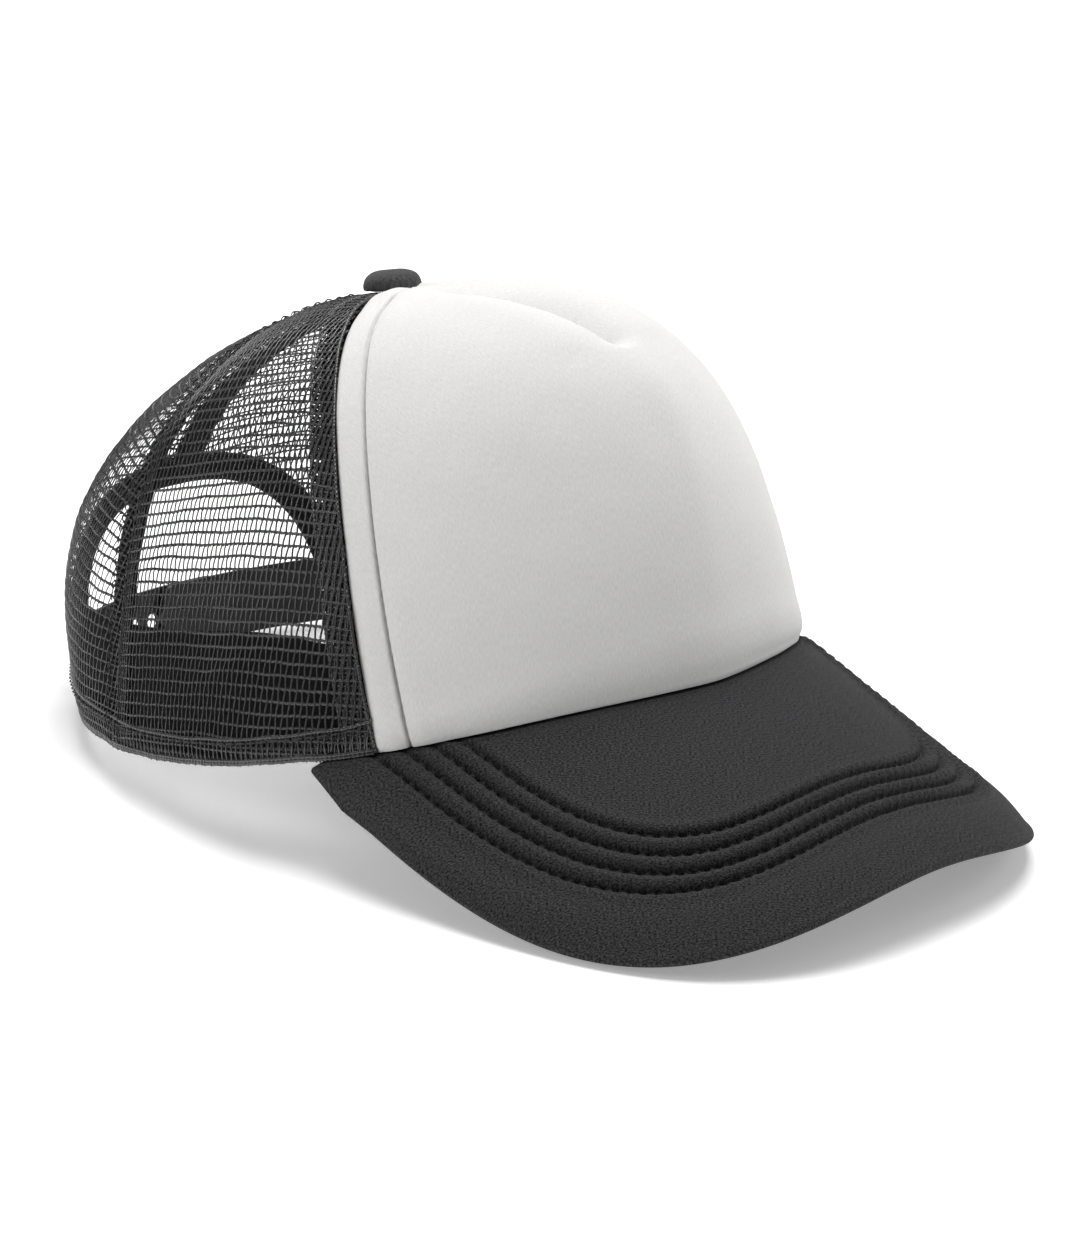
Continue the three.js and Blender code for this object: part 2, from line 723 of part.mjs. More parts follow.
const ROW_SAMPLES = 40;
const CROWN_CLEAR = 1.5;
for (const row of range(ROW_COUNT)) {
  const points = range(ROW_SAMPLES + 1)
    .map((i) => rowPoint(row, 2 * i / ROW_SAMPLES - 1))
    .filter((p) => beyondRim(p) > CROWN_CLEAR)
    .map((p) => new THREE.Vector3(p.x, p.y, brimHeight(p.x, p.y))
      .addScaledVector(brimUp(p.x), LAYER_GAP + THREAD_RADIUS));
  addMesh(`brim_stitch_row_${row + 1}`, thread(points), LOOKS.blackThread);
}

const TOPSTITCH_STEPS = 16;
for (const [hand, side] of [[1, 'right'], [-1, 'left']]) {
  const points = range(TOPSTITCH_STEPS + 1).map((i) => {
    const t = lerp(TOPSTITCH_START, TOPSTITCH_END, i / TOPSTITCH_STEPS);
    const seam = frontSeam(t);
    const angle = hand * (seam - widthAngle(seam, t, TOPSTITCH_INSET));
    return skin(angle, t, -LAYER_GAP - THREAD_RADIUS);
  });
  addMesh(`front_topstitch_${side}`, thread(points), LOOKS.whiteThread);
}

// ---------------------------------------------------------------- button
const DOME_STEPS = 4;
const BUTTON_SEGMENTS = 20;

function dome(radius, foot, top) {
  return range(DOME_STEPS + 1).map((i) => {
    const a = i / DOME_STEPS * Math.PI / 2;
    const r = i === DOME_STEPS ? 0 : radius * Math.cos(a) ** DOME_SIDE_POWER;
    return new THREE.Vector2(r, foot + (top - foot) * Math.sin(a) ** DOME_TOP_POWER);
  });
}

function lathe(profile) {
  const geometry = new THREE.LatheGeometry(profile, BUTTON_SEGMENTS);
  geometry.rotateX(Math.PI / 2);
  return geometry;
}

function addButtonPart(name, profile, look) {
  addMesh(name, lathe(profile), look).position.set(0, BUTTON_Y, CROWN_HEIGHT);
}

const v2 = (x, y) => new THREE.Vector2(x, y);
const coreFoot = SEAM_GAP + BUTTON_SKIN;
addButtonPart('button_cover', [
  ...dome(BUTTON_RADIUS - BUTTON_SKIN, coreFoot, BUTTON_HEIGHT - BUTTON_SKIN).reverse(),
  v2(BUTTON_RADIUS - BUTTON_SKIN, SEAM_GAP),
  v2(BUTTON_RADIUS, SEAM_GAP),
  ...dome(BUTTON_RADIUS, coreFoot, BUTTON_HEIGHT),
], LOOKS.black);

const coreRadius = BUTTON_RADIUS - BUTTON_SKIN - LAYER_GAP;
const headTop = -WASHER_DEPTH - WASHER_THICK - LAYER_GAP;
addButtonPart('button_rivet', [
  v2(0, headTop - WASHER_THICK),
  v2(HEAD_RADIUS, headTop - WASHER_THICK),
  v2(HEAD_RADIUS, headTop),
  v2(POST_RADIUS, headTop),
  v2(POST_RADIUS, SEAM_GAP),
  v2(coreRadius, SEAM_GAP),
  ...dome(coreRadius, coreFoot, BUTTON_HEIGHT - BUTTON_SKIN - LAYER_GAP),
], LOOKS.metal);

addButtonPart('button_washer', [
  v2(POST_RADIUS + LAYER_GAP, -WASHER_DEPTH - WASHER_THICK),
  v2(WASHER_RADIUS, -WASHER_DEPTH - WASHER_THICK),
  v2(WASHER_RADIUS, -WASHER_DEPTH),
  v2(POST_RADIUS + LAYER_GAP, -WASHER_DEPTH),
  v2(POST_RADIUS + LAYER_GAP, -WASHER_DEPTH - WASHER_THICK),
], LOOKS.metal);

// ---------------------------------------------------------------- snap strap
// Arc length along the back of the rim, measured from the centre towards the wearer's right.
const ARC_STEP = 0.25;
const backArc = [];
{
  let travelled = 0;
  let previous = plan(180);
  for (let a = 180; a > 100; a -= ARC_STEP) {
    const p = plan(a);
    travelled += p.distanceTo(previous);
    backArc.push([travelled, a]);
    previous = p;
  }
}

function arcAngle(arc) {
  const goal = Math.abs(arc);
  const k = backArc.findIndex(([s]) => s >= goal);
  if (k <= 0) return 180;
  const [s0, a0] = backArc[k - 1];
  const [s1, a1] = backArc[k];
  return Math.sign(arc) * lerp(a0, a1, (goal - s0) / (s1 - s0));
}

function strapPoint(arc, height, depth) {
  const angle = arcAngle(arc);
  const p = plan(angle);
  const normal = crownNormal(angle, 0);
  return new THREE.Vector3(p.x - normal.x * depth, p.y - normal.y * depth, STRAP_FOOT + height);
}

const STRAP_SECTIONS = 18;
const STRAP_CROWDING = 1.35;        // sections sit closer together towards the rounded tip

function strapBlank(root, tip, depth, corner) {
  const sections = range(STRAP_SECTIONS + 1).map((i) => {
    const turn = i / STRAP_SECTIONS;
    const arc = lerp(root, tip, 1 - (1 - turn) ** STRAP_CROWDING);
    const left = Math.abs(arc - tip);
    const bite = left < corner ? corner - Math.sqrt(corner ** 2 - (corner - left) ** 2) : 0;
    const [low, high] = [bite, STRAP_HEIGHT - bite];
    return [
      strapPoint(arc, low, depth),
      strapPoint(arc, high, depth),
      strapPoint(arc, high, depth + STRAP_THICK),
      strapPoint(arc, low, depth + STRAP_THICK),
    ];
  });
  return loft(sections, [[0, 1, 2], [0, 2, 3]]);
}

function stud(arc, radius, fromDepth, toDepth) {
  const length = Math.abs(toDepth - fromDepth);
  const geometry = new THREE.CylinderGeometry(radius, radius, length, STUD_SIDES);
  const start = strapPoint(arc, STRAP_HEIGHT / 2, fromDepth);
  const end = strapPoint(arc, STRAP_HEIGHT / 2, toDepth);
  const axis = end.clone().sub(start).normalize();
  const turn = new THREE.Quaternion().setFromUnitVectors(new THREE.Vector3(0, 1, 0), axis);
  geometry.applyQuaternion(turn);
  const middle = start.add(end).multiplyScalar(0.5);
  geometry.translate(middle.x, middle.y, middle.z);
  return weld(geometry);
}

const WELD_DISTANCE = 1e-4;

function weld(geometry) {
  geometry.deleteAttribute('normal');
  geometry.deleteAttribute('uv');
  return mergeVertices(geometry, WELD_DISTANCE);
}

const innerDepth = STRAP_OUTER_DEPTH + STRAP_THICK + LAYER_GAP;
const CUT_MARGIN = 2;

let holeStrap = toManifold(strapBlank(STRAP_ROOT, STRAP_TIP, STRAP_OUTER_DEPTH, STRAP_CORNER));
for (const k of HOLE_STEPS) {
  const from = STRAP_OUTER_DEPTH - CUT_MARGIN;
  const to = STRAP_OUTER_DEPTH + STRAP_THICK + CUT_MARGIN;
  holeStrap = holeStrap.subtract(toManifold(stud(k * STUD_PITCH, HOLE_RADIUS, from, to)));
}
addMesh('snap_strap_holes', fromManifold(holeStrap), LOOKS.plastic);

let pegStrap = toManifold(strapBlank(-STRAP_ROOT, -STRAP_TIP, innerDepth, STRAP_CORNER));
for (const k of HOLE_STEPS) {
  const root = innerDepth + STRAP_THICK / 2;
  const peg = stud(-k * STUD_PITCH, PEG_RADIUS, root, innerDepth - PEG_HEIGHT);
  pegStrap = pegStrap.add(toManifold(peg));
}
addMesh('snap_strap_pegs', fromManifold(pegStrap), LOOKS.plastic);

const sewnFrom = STRAP_ROOT + SEWN_GAP;
const sewnTo = sewnFrom + SEWN_LENGTH;
const rightEnd = strapBlank(sewnFrom, sewnTo, STRAP_OUTER_DEPTH, SEWN_CORNER);
const leftEnd = strapBlank(-sewnFrom, -sewnTo, innerDepth, SEWN_CORNER);
addMesh('strap_end_right', rightEnd, LOOKS.plastic);
addMesh('strap_end_left', leftEnd, LOOKS.plastic);

export default cap;
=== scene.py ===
# Looks of the five-panel trucker cap: knit front panel on foam, open mesh panels, stitched padded
# brim, tapes, sweatband, snap strap and button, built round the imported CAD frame.
import math
import bpy
import numpy as np
from mathutils import Euler, Matrix, Vector
from mathutils.kdtree import KDTree


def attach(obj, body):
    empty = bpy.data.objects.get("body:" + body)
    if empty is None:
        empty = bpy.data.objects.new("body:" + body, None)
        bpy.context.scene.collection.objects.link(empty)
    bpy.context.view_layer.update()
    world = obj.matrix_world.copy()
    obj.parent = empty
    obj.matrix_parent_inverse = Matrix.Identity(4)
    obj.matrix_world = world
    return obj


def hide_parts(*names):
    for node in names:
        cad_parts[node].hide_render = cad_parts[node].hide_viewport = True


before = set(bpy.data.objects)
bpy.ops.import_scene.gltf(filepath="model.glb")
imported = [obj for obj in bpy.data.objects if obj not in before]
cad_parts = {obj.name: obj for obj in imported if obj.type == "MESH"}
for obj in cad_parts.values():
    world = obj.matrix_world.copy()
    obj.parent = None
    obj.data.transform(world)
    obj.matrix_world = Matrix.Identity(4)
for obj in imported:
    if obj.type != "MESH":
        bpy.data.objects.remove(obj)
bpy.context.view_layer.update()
MM = 0.001
DEGREE = math.pi / 180
SIDES = ((1, "right"), (-1, "left"))

# ---------- shape of the cap, in mm
# In the cap frame +z runs up the crown and the brim points to -y. A place on the crown has an
# angle th, in degrees, 0 at the front and 180 at the back, and a rise t, 0 at the rim and 1 at
# the button.
PITCH = 11.4 * DEGREE
SHIFT = np.array([0.0, 12.0, 21.2])
RIM_FRONT, RIM_BACK, RIM_HALF = 81.7, 119.3, 92.7
RIM_FRONT_POWER, RIM_BACK_POWER = 1.76, 2.12
RIM_SAG, SAG_CENTRE, SAG_SPREAD = 3.3, 115.0, 50.0
SEAM_GAP = 0.4
CROWN_HEIGHT, BUTTON_Y = 102.0, 21.2
CROWN_LENGTH = 150.0  # roughly, from rim to button along the cloth

# powers of the crown's profile, at the front, side and back
SHOULDER = (4.5, 2.82, 1.48)
RISE = (2.39, 1.5, 2.46)
BULGE = (0.02, -0.06, 0.13)
TOP_END = 0.978  # panels end here, under the button

# seams: angle at the rim, then how it changes with the climb and its square
FRONT_SEAM = (62.7, 11.9, 1.4)
SIDE_SEAM = (118.6, 4.7, 22.1)

# brim: slope, arch and outline, and its four stitch rows
BRIM_DROP = math.tan(31.2 * DEGREE)
ARCH_R = 112.4
BRIM_END, BRIM_REACH, BRIM_HALF = 74.6, 144.4, 87.7
CORNER_POWER, FRONT_POWER, BRIM_LEAD = 2.64, 3.31, 43.6
FLANGE = 4.0
SETTLE_LENGTH = 12.0
BRIM_THICK = 4.7
ROWS = 4
ROW_INNER = (63.0, 115.8, 3.1, 4.2)  # half width, reach, corner power, front power
ROW_OUTER = (76.8, 127.9, 3.1, 3.3)
ROW_BACK = 20.0

# arched opening at the back: half width, height and roundness
OPEN_HALF, OPEN_HEIGHT, OPEN_POWER = 45.0, 49.5, 2.6
OPEN_FRONT_Y = 60.0


def ease(v):
    """Smooth step from 0 to 1."""
    c = np.clip(v, 0, 1)
    return c * c * (3 - 2 * c)


def bell(x, shape):
    """Bell curve with shape = (height, centre, spread)."""
    height, centre, spread = shape
    return height * np.exp(-((x - centre) / spread) ** 2)


def unit(v):
    return v / np.maximum(np.linalg.norm(v, axis=-1, keepdims=True), 1e-12)


def arc_length(path):
    """Distance along a path, from 0 at its first point."""
    steps = np.linalg.norm(np.diff(path, axis=0), axis=-1)
    return np.concatenate([[0], np.cumsum(steps)])


def to_row(p):
    """Cap frame, mm, to the row frame, metres."""
    c, s = math.cos(PITCH), math.sin(PITCH)
    out = np.empty(p.shape)
    out[..., 0] = p[..., 0]
    out[..., 1] = c * p[..., 1] + s * p[..., 2]
    out[..., 2] = -s * p[..., 1] + c * p[..., 2]
    return (out + SHIFT) * MM


def plan(th):
    """The rim seen from above."""
    c, s = np.cos(th * DEGREE), np.sin(th * DEGREE)
    reach = np.where(c > 0, RIM_FRONT, RIM_BACK)
    power = np.where(c > 0, RIM_FRONT_POWER, RIM_BACK_POWER)
    total = np.abs(c / reach) ** power + np.abs(s / RIM_HALF) ** power
    r = total ** (-1 / power)
    return -r * s, -r * c


CORNER = [float(v) for v in plan(np.array(BRIM_END))]


def arch_sag(x):
    """How far the arched brim has dropped at x."""
    return ARCH_R - np.sqrt(ARCH_R ** 2 - x * x)


def brim_height(x, y):
    return -BRIM_DROP * (CORNER[1] - y) + arch_sag(CORNER[0]) - arch_sag(x)


def rim_height(th):
    """The rim follows the brim in front and sags a little at the sides."""
    x, y = plan(th)
    on_brim = ease((BRIM_END + 6 - np.abs(th)) / 20)
    sag = RIM_SAG * ease(1 - np.abs((np.abs(th) - SAG_CENTRE) / SAG_SPREAD))
    return brim_height(x, y) * on_brim - sag


def blend(values, th):
    """Mixes a front, side and back value by angle."""
    front, side, back = values
    c = np.cos(th * DEGREE)
    return side + (np.where(c > 0, front, back) - side) * c * c


def climb(th, t):
    f = np.cos(np.clip(t, 0, 1) * math.pi / 2)
    return np.arccos(np.clip(f ** (blend(SHOULDER, th) / 2), 0, 1)) * 2 / math.pi


def crown(th, t):
    """Point of the crown's fair surface."""
    th, t = np.broadcast_arrays(np.asarray(th, float), np.clip(np.asarray(t, float), 0, 1))
    x, y = plan(th)
    f = np.cos(t * math.pi / 2)
    swell = f * (1 + blend(BULGE, th) * np.sin(math.pi * climb(th, t)))
    up = np.clip(1 - f ** blend(SHOULDER, th), 0, 1) ** (1 / blend(RISE, th))
    base = rim_height(th) + SEAM_GAP
    return np.stack([x * swell, BUTTON_Y + (y - BUTTON_Y) * swell,
                     base + (CROWN_HEIGHT - base) * up], -1)


def crown_normal(th, t):
    """Outward direction, level at the rim."""
    th, t = np.broadcast_arrays(np.asarray(th, float), np.asarray(t, float))
    along = crown(th + 0.5, t) - crown(th - 0.5, t)
    up = crown(th, t + 0.004) - crown(th, np.maximum(t - 0.004, 0))
    n = np.cross(up, along)
    n[..., 2] = np.where(t <= 0, 0, n[..., 2])
    return unit(n)


def seam_angle(seam, t):
    """Angle of a seam at rise t, found by repeating, as the climb depends on the angle."""
    th = np.full(np.shape(t), seam[0], float)
    for _ in range(6):
        s = climb(th, t)
        th = seam[0] + seam[1] * s + seam[2] * s * s
    return th


def mm_per_degree(th, t):
    return np.linalg.norm(crown(th + 0.5, t) - crown(th - 0.5, t), axis=-1)


def seam_distance(seam, th, t):
    """Distance behind a seam, in mm."""
    s = seam_angle(seam, t)
    return (np.abs(th) - s) * mm_per_degree(s, t)


def arch_top(x):
    """Height of the back opening at x."""
    reach = np.clip(np.abs(x) / OPEN_HALF, 0, 1)
    return OPEN_HEIGHT * (1 - reach ** OPEN_POWER) ** (1 / OPEN_POWER)


def in_arch(p, margin):
    return (np.abs(p[..., 0]) < OPEN_HALF + margin) & (p[..., 1] > OPEN_FRONT_Y) & (
        p[..., 2] < arch_top(p[..., 0]) + margin)


def rise_at_height(th, z):
    """Rise of the crown at a height, by halving."""
    lo, hi = np.zeros(np.shape(th)), np.full(np.shape(th), 0.7)
    for _ in range(30):
        mid = (lo + hi) / 2
        low = crown(th, mid)[..., 2] < z
        lo, hi = np.where(low, mid, lo), np.where(low, hi, mid)
    return (lo + hi) / 2


def solve(measure, target, th, t, rounds=9):
    """Crown coordinates where measure(th, t) equals target, by Newton's method."""
    for _ in range(rounds):
        f0 = measure(th, t)
        ft = (measure(th + 0.05, t) - f0) / 0.05
        fu = (measure(th, t + 5e-4) - f0) / 5e-4
        g = target - f0
        det = ft[..., 0] * fu[..., 1] - ft[..., 1] * fu[..., 0]
        det = np.where(np.abs(det) < 1e-9, 1e-9, det)
        dth = (g[..., 0] * fu[..., 1] - g[..., 1] * fu[..., 0]) / det
        dt = (ft[..., 0] * g[..., 1] - ft[..., 1] * g[..., 0]) / det
        th = th + np.clip(dth, -4, 4)
        t = np.clip(t + np.clip(dt, -0.05, 0.05), -0.02, 0.995)
    return th, t


# ---------- mesh helpers
def new_object(name, data):
    o = bpy.data.objects.new(name, data)
    bpy.context.scene.collection.objects.link(o)
    return o


def add_object(name, verts, faces, material, uv=None):
    """verts in the row frame, metres; uv per vertex, in mm."""
    me = bpy.data.meshes.new(name)
    verts = np.asarray(verts, np.float32).reshape(-1, 3)
    faces = np.asarray(faces, np.int32)
    me.vertices.add(len(verts))
    me.vertices.foreach_set("co", verts.ravel())
    me.loops.add(faces.size)
    me.loops.foreach_set("vertex_index", faces.ravel())
    me.polygons.add(len(faces))
    me.polygons.foreach_set("loop_start", np.arange(0, faces.size, faces.shape[1], dtype=np.int32))
    me.polygons.foreach_set("use_smooth", np.ones(len(faces), bool))
    if uv is not None:
        layer = me.uv_layers.new(name="mm")
        flat = np.asarray(uv, np.float32).reshape(-1, 2)[faces.ravel()]
        layer.data.foreach_set("uv", flat.ravel())
    me.update(calc_edges=True)
    me.validate()
    me.materials.append(material)
    return new_object(name, me)


def cap_piece(name, points, faces, material, slot, *nodes, uv=None):
    """A piece sewn to the cap: points in the cap frame, mm, standing for the CAD nodes named."""
    o = add_object(name, to_row(points), faces, material, uv)
    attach(o, "cap")
    if nodes:
        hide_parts(*nodes)
    return o


def grid_faces(ny, nx, wrap=False):
    j, i = np.meshgrid(np.arange(ny - 1), np.arange(nx if wrap else nx - 1), indexing="ij")
    k = (i + 1) % nx
    quad = np.stack([j * nx + i, j * nx + k, (j + 1) * nx + k, (j + 1) * nx + i], -1)
    return quad.reshape(-1, 4)


def tubes(points, normals, valid, half_wide, half_high, sides):
    """Many tubes at once: points [lines, samples, 3]. Returns verts and quads."""
    n_lines, n, _ = points.shape
    tangent = unit(np.gradient(points, axis=1))
    across = unit(np.cross(normals, tangent))
    a = np.arange(sides) * 2 * math.pi / sides
    hw = np.broadcast_to(half_wide, (n_lines, n))[..., None, None]
    hh = np.broadcast_to(half_high, (n_lines, n))[..., None, None]
    ring = (points[:, :, None] + across[:, :, None] * np.cos(a)[None, None, :, None] * hw
            + normals[:, :, None] * np.sin(a)[None, None, :, None] * hh)
    line, j, k = np.meshgrid(np.arange(n_lines), np.arange(n - 1), np.arange(sides), indexing="ij")
    keep = (valid[:, :-1] & valid[:, 1:])[:, :, None].repeat(sides, 2)
    line, j, k = line[keep], j[keep], k[keep]
    base = (line * n + j) * sides
    q = np.stack([base + k, base + (k + 1) % sides, base + sides + (k + 1) % sides,
                  base + sides + k], -1)
    return ring.reshape(-1, 3), q


def join(parts):
    """Joins several (verts, quads) into one, leaving out unused vertices."""
    verts, faces, offset = [], [], 0
    for v, f in parts:
        used, inverse = np.unique(f.ravel(), return_inverse=True)
        verts.append(v[used])
        faces.append(inverse.reshape(f.shape) + offset)
        offset += len(used)
    return np.concatenate(verts), np.concatenate(faces)


STITCH_SAMPLES, STITCH_SIDES = 6, 6
STITCH_DIP = 0.35
# length, gap and thread radius of each kind of stitch
STITCHES = {
    "panel": (2.4, 0.5, 0.13), "brim": (2.8, 0.6, 0.25), "binding": (2.3, 0.7, 0.2),
    "tape": (2.2, 0.7, 0.2), "outside": (2.2, 0.7, 0.22),
    "band": (2.4, 0.8, 0.2), "hem": (2.4, 0.8, 0.22),
}


def stitches(path, normals, kind, lift=0.0):
    """Short threads laid end to end along a path, each dipping into the cloth at its ends."""
    length, gap, radius = STITCHES[kind]
    arc = arc_length(path)
    count = max(1, int(arc[-1] / (length + gap)))
    starts = (np.arange(count) + 0.5) * arc[-1] / count - length / 2
    s = starts[:, None] + np.linspace(0, 1, STITCH_SAMPLES)[None] * length
    p = np.stack([np.interp(s, arc, path[:, k]) for k in range(3)], -1)
    n = unit(np.stack([np.interp(s, arc, normals[:, k]) for k in range(3)], -1))
    bow = np.sin(np.linspace(0, 1, STITCH_SAMPLES) * math.pi)[None]
    p = p + n * (lift - STITCH_DIP + bow * STITCH_DIP * 1.4)[..., None]
    thin = radius * (0.6 + 0.4 * bow)
    return tubes(p, n, np.ones(s.shape, bool), thin, thin, STITCH_SIDES)


WOBBLE_WAVES = 7


def wobble(p, scale, seed):
    """Smooth noise about -1 to 1 from a few crossing waves, in mm space."""
    r = np.random.default_rng(seed)
    total = np.zeros(p.shape[:-1])
    for _ in range(WOBBLE_WAVES):
        k = r.normal(size=3)
        k = k / np.linalg.norm(k) * (2 * math.pi / scale) * r.uniform(0.6, 1.6)
        total += np.sin(p @ k + r.uniform(0, 6.28))
    return total / math.sqrt(WOBBLE_WAVES)


# ---------- materials
def set_inputs(node, values):
    for name, value in values.items():
        node.inputs[name].default_value = value


def new_material(name, colour, rough, metal=0.0, sheen=0.0, spec=0.5):
    m = bpy.data.materials.new(name)
    m.use_nodes = True
    b = m.node_tree.nodes["Principled BSDF"]
    set_inputs(b, {"Base Color": (*colour, 1), "Roughness": rough, "Metallic": metal,
                   "Sheen Weight": sheen, "Sheen Roughness": 0.5, "Specular IOR Level": spec})
    return m, m.node_tree, b


def math_node(tree, op, a, b):
    """A sum or product of two values, each a number or a socket."""
    n = tree.nodes.new("ShaderNodeMath")
    n.operation = op
    for k, v in enumerate([a, b]):
        if isinstance(v, (int, float)):
            n.inputs[k].default_value = v
        else:
            tree.links.new(v, n.inputs[k])
    return n.outputs[0]


def scaled(tree, value, factor, offset):
    return math_node(tree, "ADD", math_node(tree, "MULTIPLY", value, factor), offset)


def noise(tree, scale, detail, rough=0.6):
    c = tree.nodes.new("ShaderNodeTexCoord")
    n = tree.nodes.new("ShaderNodeTexNoise")
    set_inputs(n, {"Scale": scale, "Detail": detail, "Roughness": rough})
    tree.links.new(c.outputs["Object"], n.inputs["Vector"])
    return n.outputs["Fac"]


def ramp_mix(tree, factor, low, high, target):
    r = tree.nodes.new("ShaderNodeMix")
    r.data_type = "RGBA"
    set_inputs(r, {"A": (*low, 1), "B": (*high, 1)})
    tree.links.new(factor, r.inputs["Factor"])
    tree.links.new(r.outputs["Result"], target)


def bump(tree, height, target, strength, distance):
    n = tree.nodes.new("ShaderNodeBump")
    set_inputs(n, {"Strength": strength, "Distance": distance})
    tree.links.new(height, n.inputs["Height"])
    tree.links.new(n.outputs["Normal"], target)


def grain(tree, u, v, along, across, lean):
    """Noise drawn out along a direction: waves per mm along and across the threads."""
    c, q = math.cos(lean * DEGREE), math.sin(lean * DEGREE)
    combine = tree.nodes.new("ShaderNodeCombineXYZ")
    for k, (cu, cv, turns) in enumerate([(c, q, across), (-q, c, along)]):
        mixed = scaled(tree, u, cu * turns, math_node(tree, "MULTIPLY", v, cv * turns))
        tree.links.new(mixed, combine.inputs[k])
    n = tree.nodes.new("ShaderNodeTexNoise")
    set_inputs(n, {"Scale": 1.0, "Detail": 2.0})
    tree.links.new(combine.outputs[0], n.inputs["Vector"])
    return n.outputs["Fac"]


ROUGH_SWING = 0.16  # how much a cloth's roughness varies


def cloth_material(name, dark, light, rough, sheen, threads, strength, distance, patch=70.0,
                   patch_share=0.3, spec=0.3, contrast=2.2):
    """Woven or knitted cloth. threads is a list of (along, across, lean, weight), the first two
    in waves per mm; patch and patch_share set the large, soft change of tone."""
    m, tree, b = new_material(name, light, rough, sheen=sheen, spec=spec)
    uvn = tree.nodes.new("ShaderNodeUVMap")
    uvn.uv_map = "mm"
    sep = tree.nodes.new("ShaderNodeSeparateXYZ")
    tree.links.new(uvn.outputs["UV"], sep.inputs[0])
    u, v = sep.outputs[0], sep.outputs[1]
    height = None
    for along, across, lean, weight in threads:
        w = math_node(tree, "MULTIPLY", grain(tree, u, v, along, across, lean), weight)
        height = w if height is None else math_node(tree, "ADD", height, w)
    total = sum(t[3] for t in threads)
    spread = scaled(tree, height, contrast / total, 0.5 - contrast / 2)
    large = noise(tree, patch, 4.0, 0.55)
    tone = math_node(tree, "ADD", math_node(tree, "MULTIPLY", spread, 1 - patch_share),
                     math_node(tree, "MULTIPLY", large, patch_share))
    ramp_mix(tree, tone, dark, light, b.inputs["Base Color"])
    bump(tree, spread, b.inputs["Normal"], strength, distance)
    tree.links.new(scaled(tree, large, ROUGH_SWING, rough - ROUGH_SWING / 2),
                   b.inputs["Roughness"])
    return m


KNIT = cloth_material("panel_knit", (0.68, 0.673, 0.667), (0.86, 0.853, 0.846), 0.86, 0.1,
                      [(0.7, 3.4, 8, 1.0), (1.6, 1.8, -30, 0.25)], 0.5, 0.00014, 45.0, 0.3)
LINING = cloth_material("foam_lining", (0.62, 0.61, 0.59), (0.84, 0.83, 0.8), 0.92, 0.1,
                        [(1.2, 1.2, 0, 1.0)], 0.5, 0.0002)
TWILL = cloth_material("brim_twill", (0.001, 0.001, 0.0012), (0.064, 0.064, 0.067), 0.85, 0.03,
                       [(1.4, 3.4, 42, 1.0), (4.4, 4.4, 0, 0.4)], 0.8, 0.00018, 55.0, 0.1,
                       spec=0.2, contrast=4.4)
# the button's cloth is much like the brim's twill, but its colour is lighter: a painted highlight
# for the light on the button's top
BUTTON_CLOTH_PAINTED_HIGHLIGHT = cloth_material("button_cloth_painted_highlight", (0.008, 0.008, 0.009), (0.10, 0.10, 0.104), 0.75,
                             0.05, [(1.2, 3.4, 40, 1.0), (4.0, 4.0, 0, 0.3)], 0.8, 0.0002,
                             spec=0.35, contrast=3.0)
BAND = cloth_material("sweatband_twill", (0.004, 0.004, 0.0045), (0.018, 0.018, 0.019), 0.9, 0.02,
                      [(0.8, 2.6, 35, 1.0), (2.2, 2.2, 0, 0.5)], 0.5, 0.00014, spec=0.2)
TAPE = cloth_material("woven_tape", (0.004, 0.004, 0.0045), (0.016, 0.016, 0.017), 0.88, 0.02,
                      [(0.6, 2.4, 90, 1.0), (2.0, 2.0, 0, 0.5)], 0.5, 0.00012, spec=0.2)


def thread_material(name, dark, light, rough, spec=0.4):
    m, tree, b = new_material(name, light, rough, sheen=0.1, spec=spec)
    ramp_mix(tree, noise(tree, 900.0, 2.0), dark, light, b.inputs["Base Color"])
    bump(tree, noise(tree, 4000.0, 1.0), b.inputs["Normal"], 0.5, 0.00008)
    return m


NYLON = thread_material("mesh_nylon", (0.0015, 0.0015, 0.0018), (0.012, 0.012, 0.0135), 0.27, 1.0)
BLACK_THREAD = thread_material("black_thread", (0.006, 0.006, 0.007), (0.03, 0.03, 0.033), 0.55)
WHITE_THREAD = thread_material("white_thread", (0.62, 0.61, 0.6), (0.82, 0.81, 0.8), 0.6)


def hard_material(name, colour, dark, light, blotch, rough, swing, fine, strength, distance,
                  metal=0.0):
    """Plastic, metal or board; blotch and fine are (scale, detail) of its tone and surface."""
    m, tree, b = new_material(name, colour, rough, metal=metal)
    f = noise(tree, *blotch)
    ramp_mix(tree, f, dark, light, b.inputs["Base Color"])
    if swing:
        tree.links.new(scaled(tree, f, swing, rough), b.inputs["Roughness"])
    bump(tree, noise(tree, *fine), b.inputs["Normal"], strength, distance)
    return m


PLASTIC = hard_material("strap_plastic", (0.012, 0.012, 0.013), (0.009, 0.009, 0.010),
                        (0.02, 0.02, 0.021), (60.0, 4.0), 0.28, 0.25, (1800.0, 2.0), 0.25, 0.00006)
METAL = hard_material("rivet_metal", (0.55, 0.56, 0.58), (0.42, 0.43, 0.45), (0.66, 0.67, 0.69),
                      (300.0, 5.0), 0.2, 0.35, (900.0, 3.0), 0.2, 0.00008, metal=1.0)
BOARD = hard_material("brim_board", (0.75, 0.75, 0.76), (0.68, 0.68, 0.69), (0.8, 0.8, 0.81),
                      (120.0, 4.0), 0.5, 0, (120.0, 4.0), 0.15, 0.0001)

# ---------- front panel
TOPSTITCH = 8.0  # distance of the topstitching from the seam
EDGE_TURN = (0.5, 1.2, 2.2)  # steps by which the panel's edges turn in

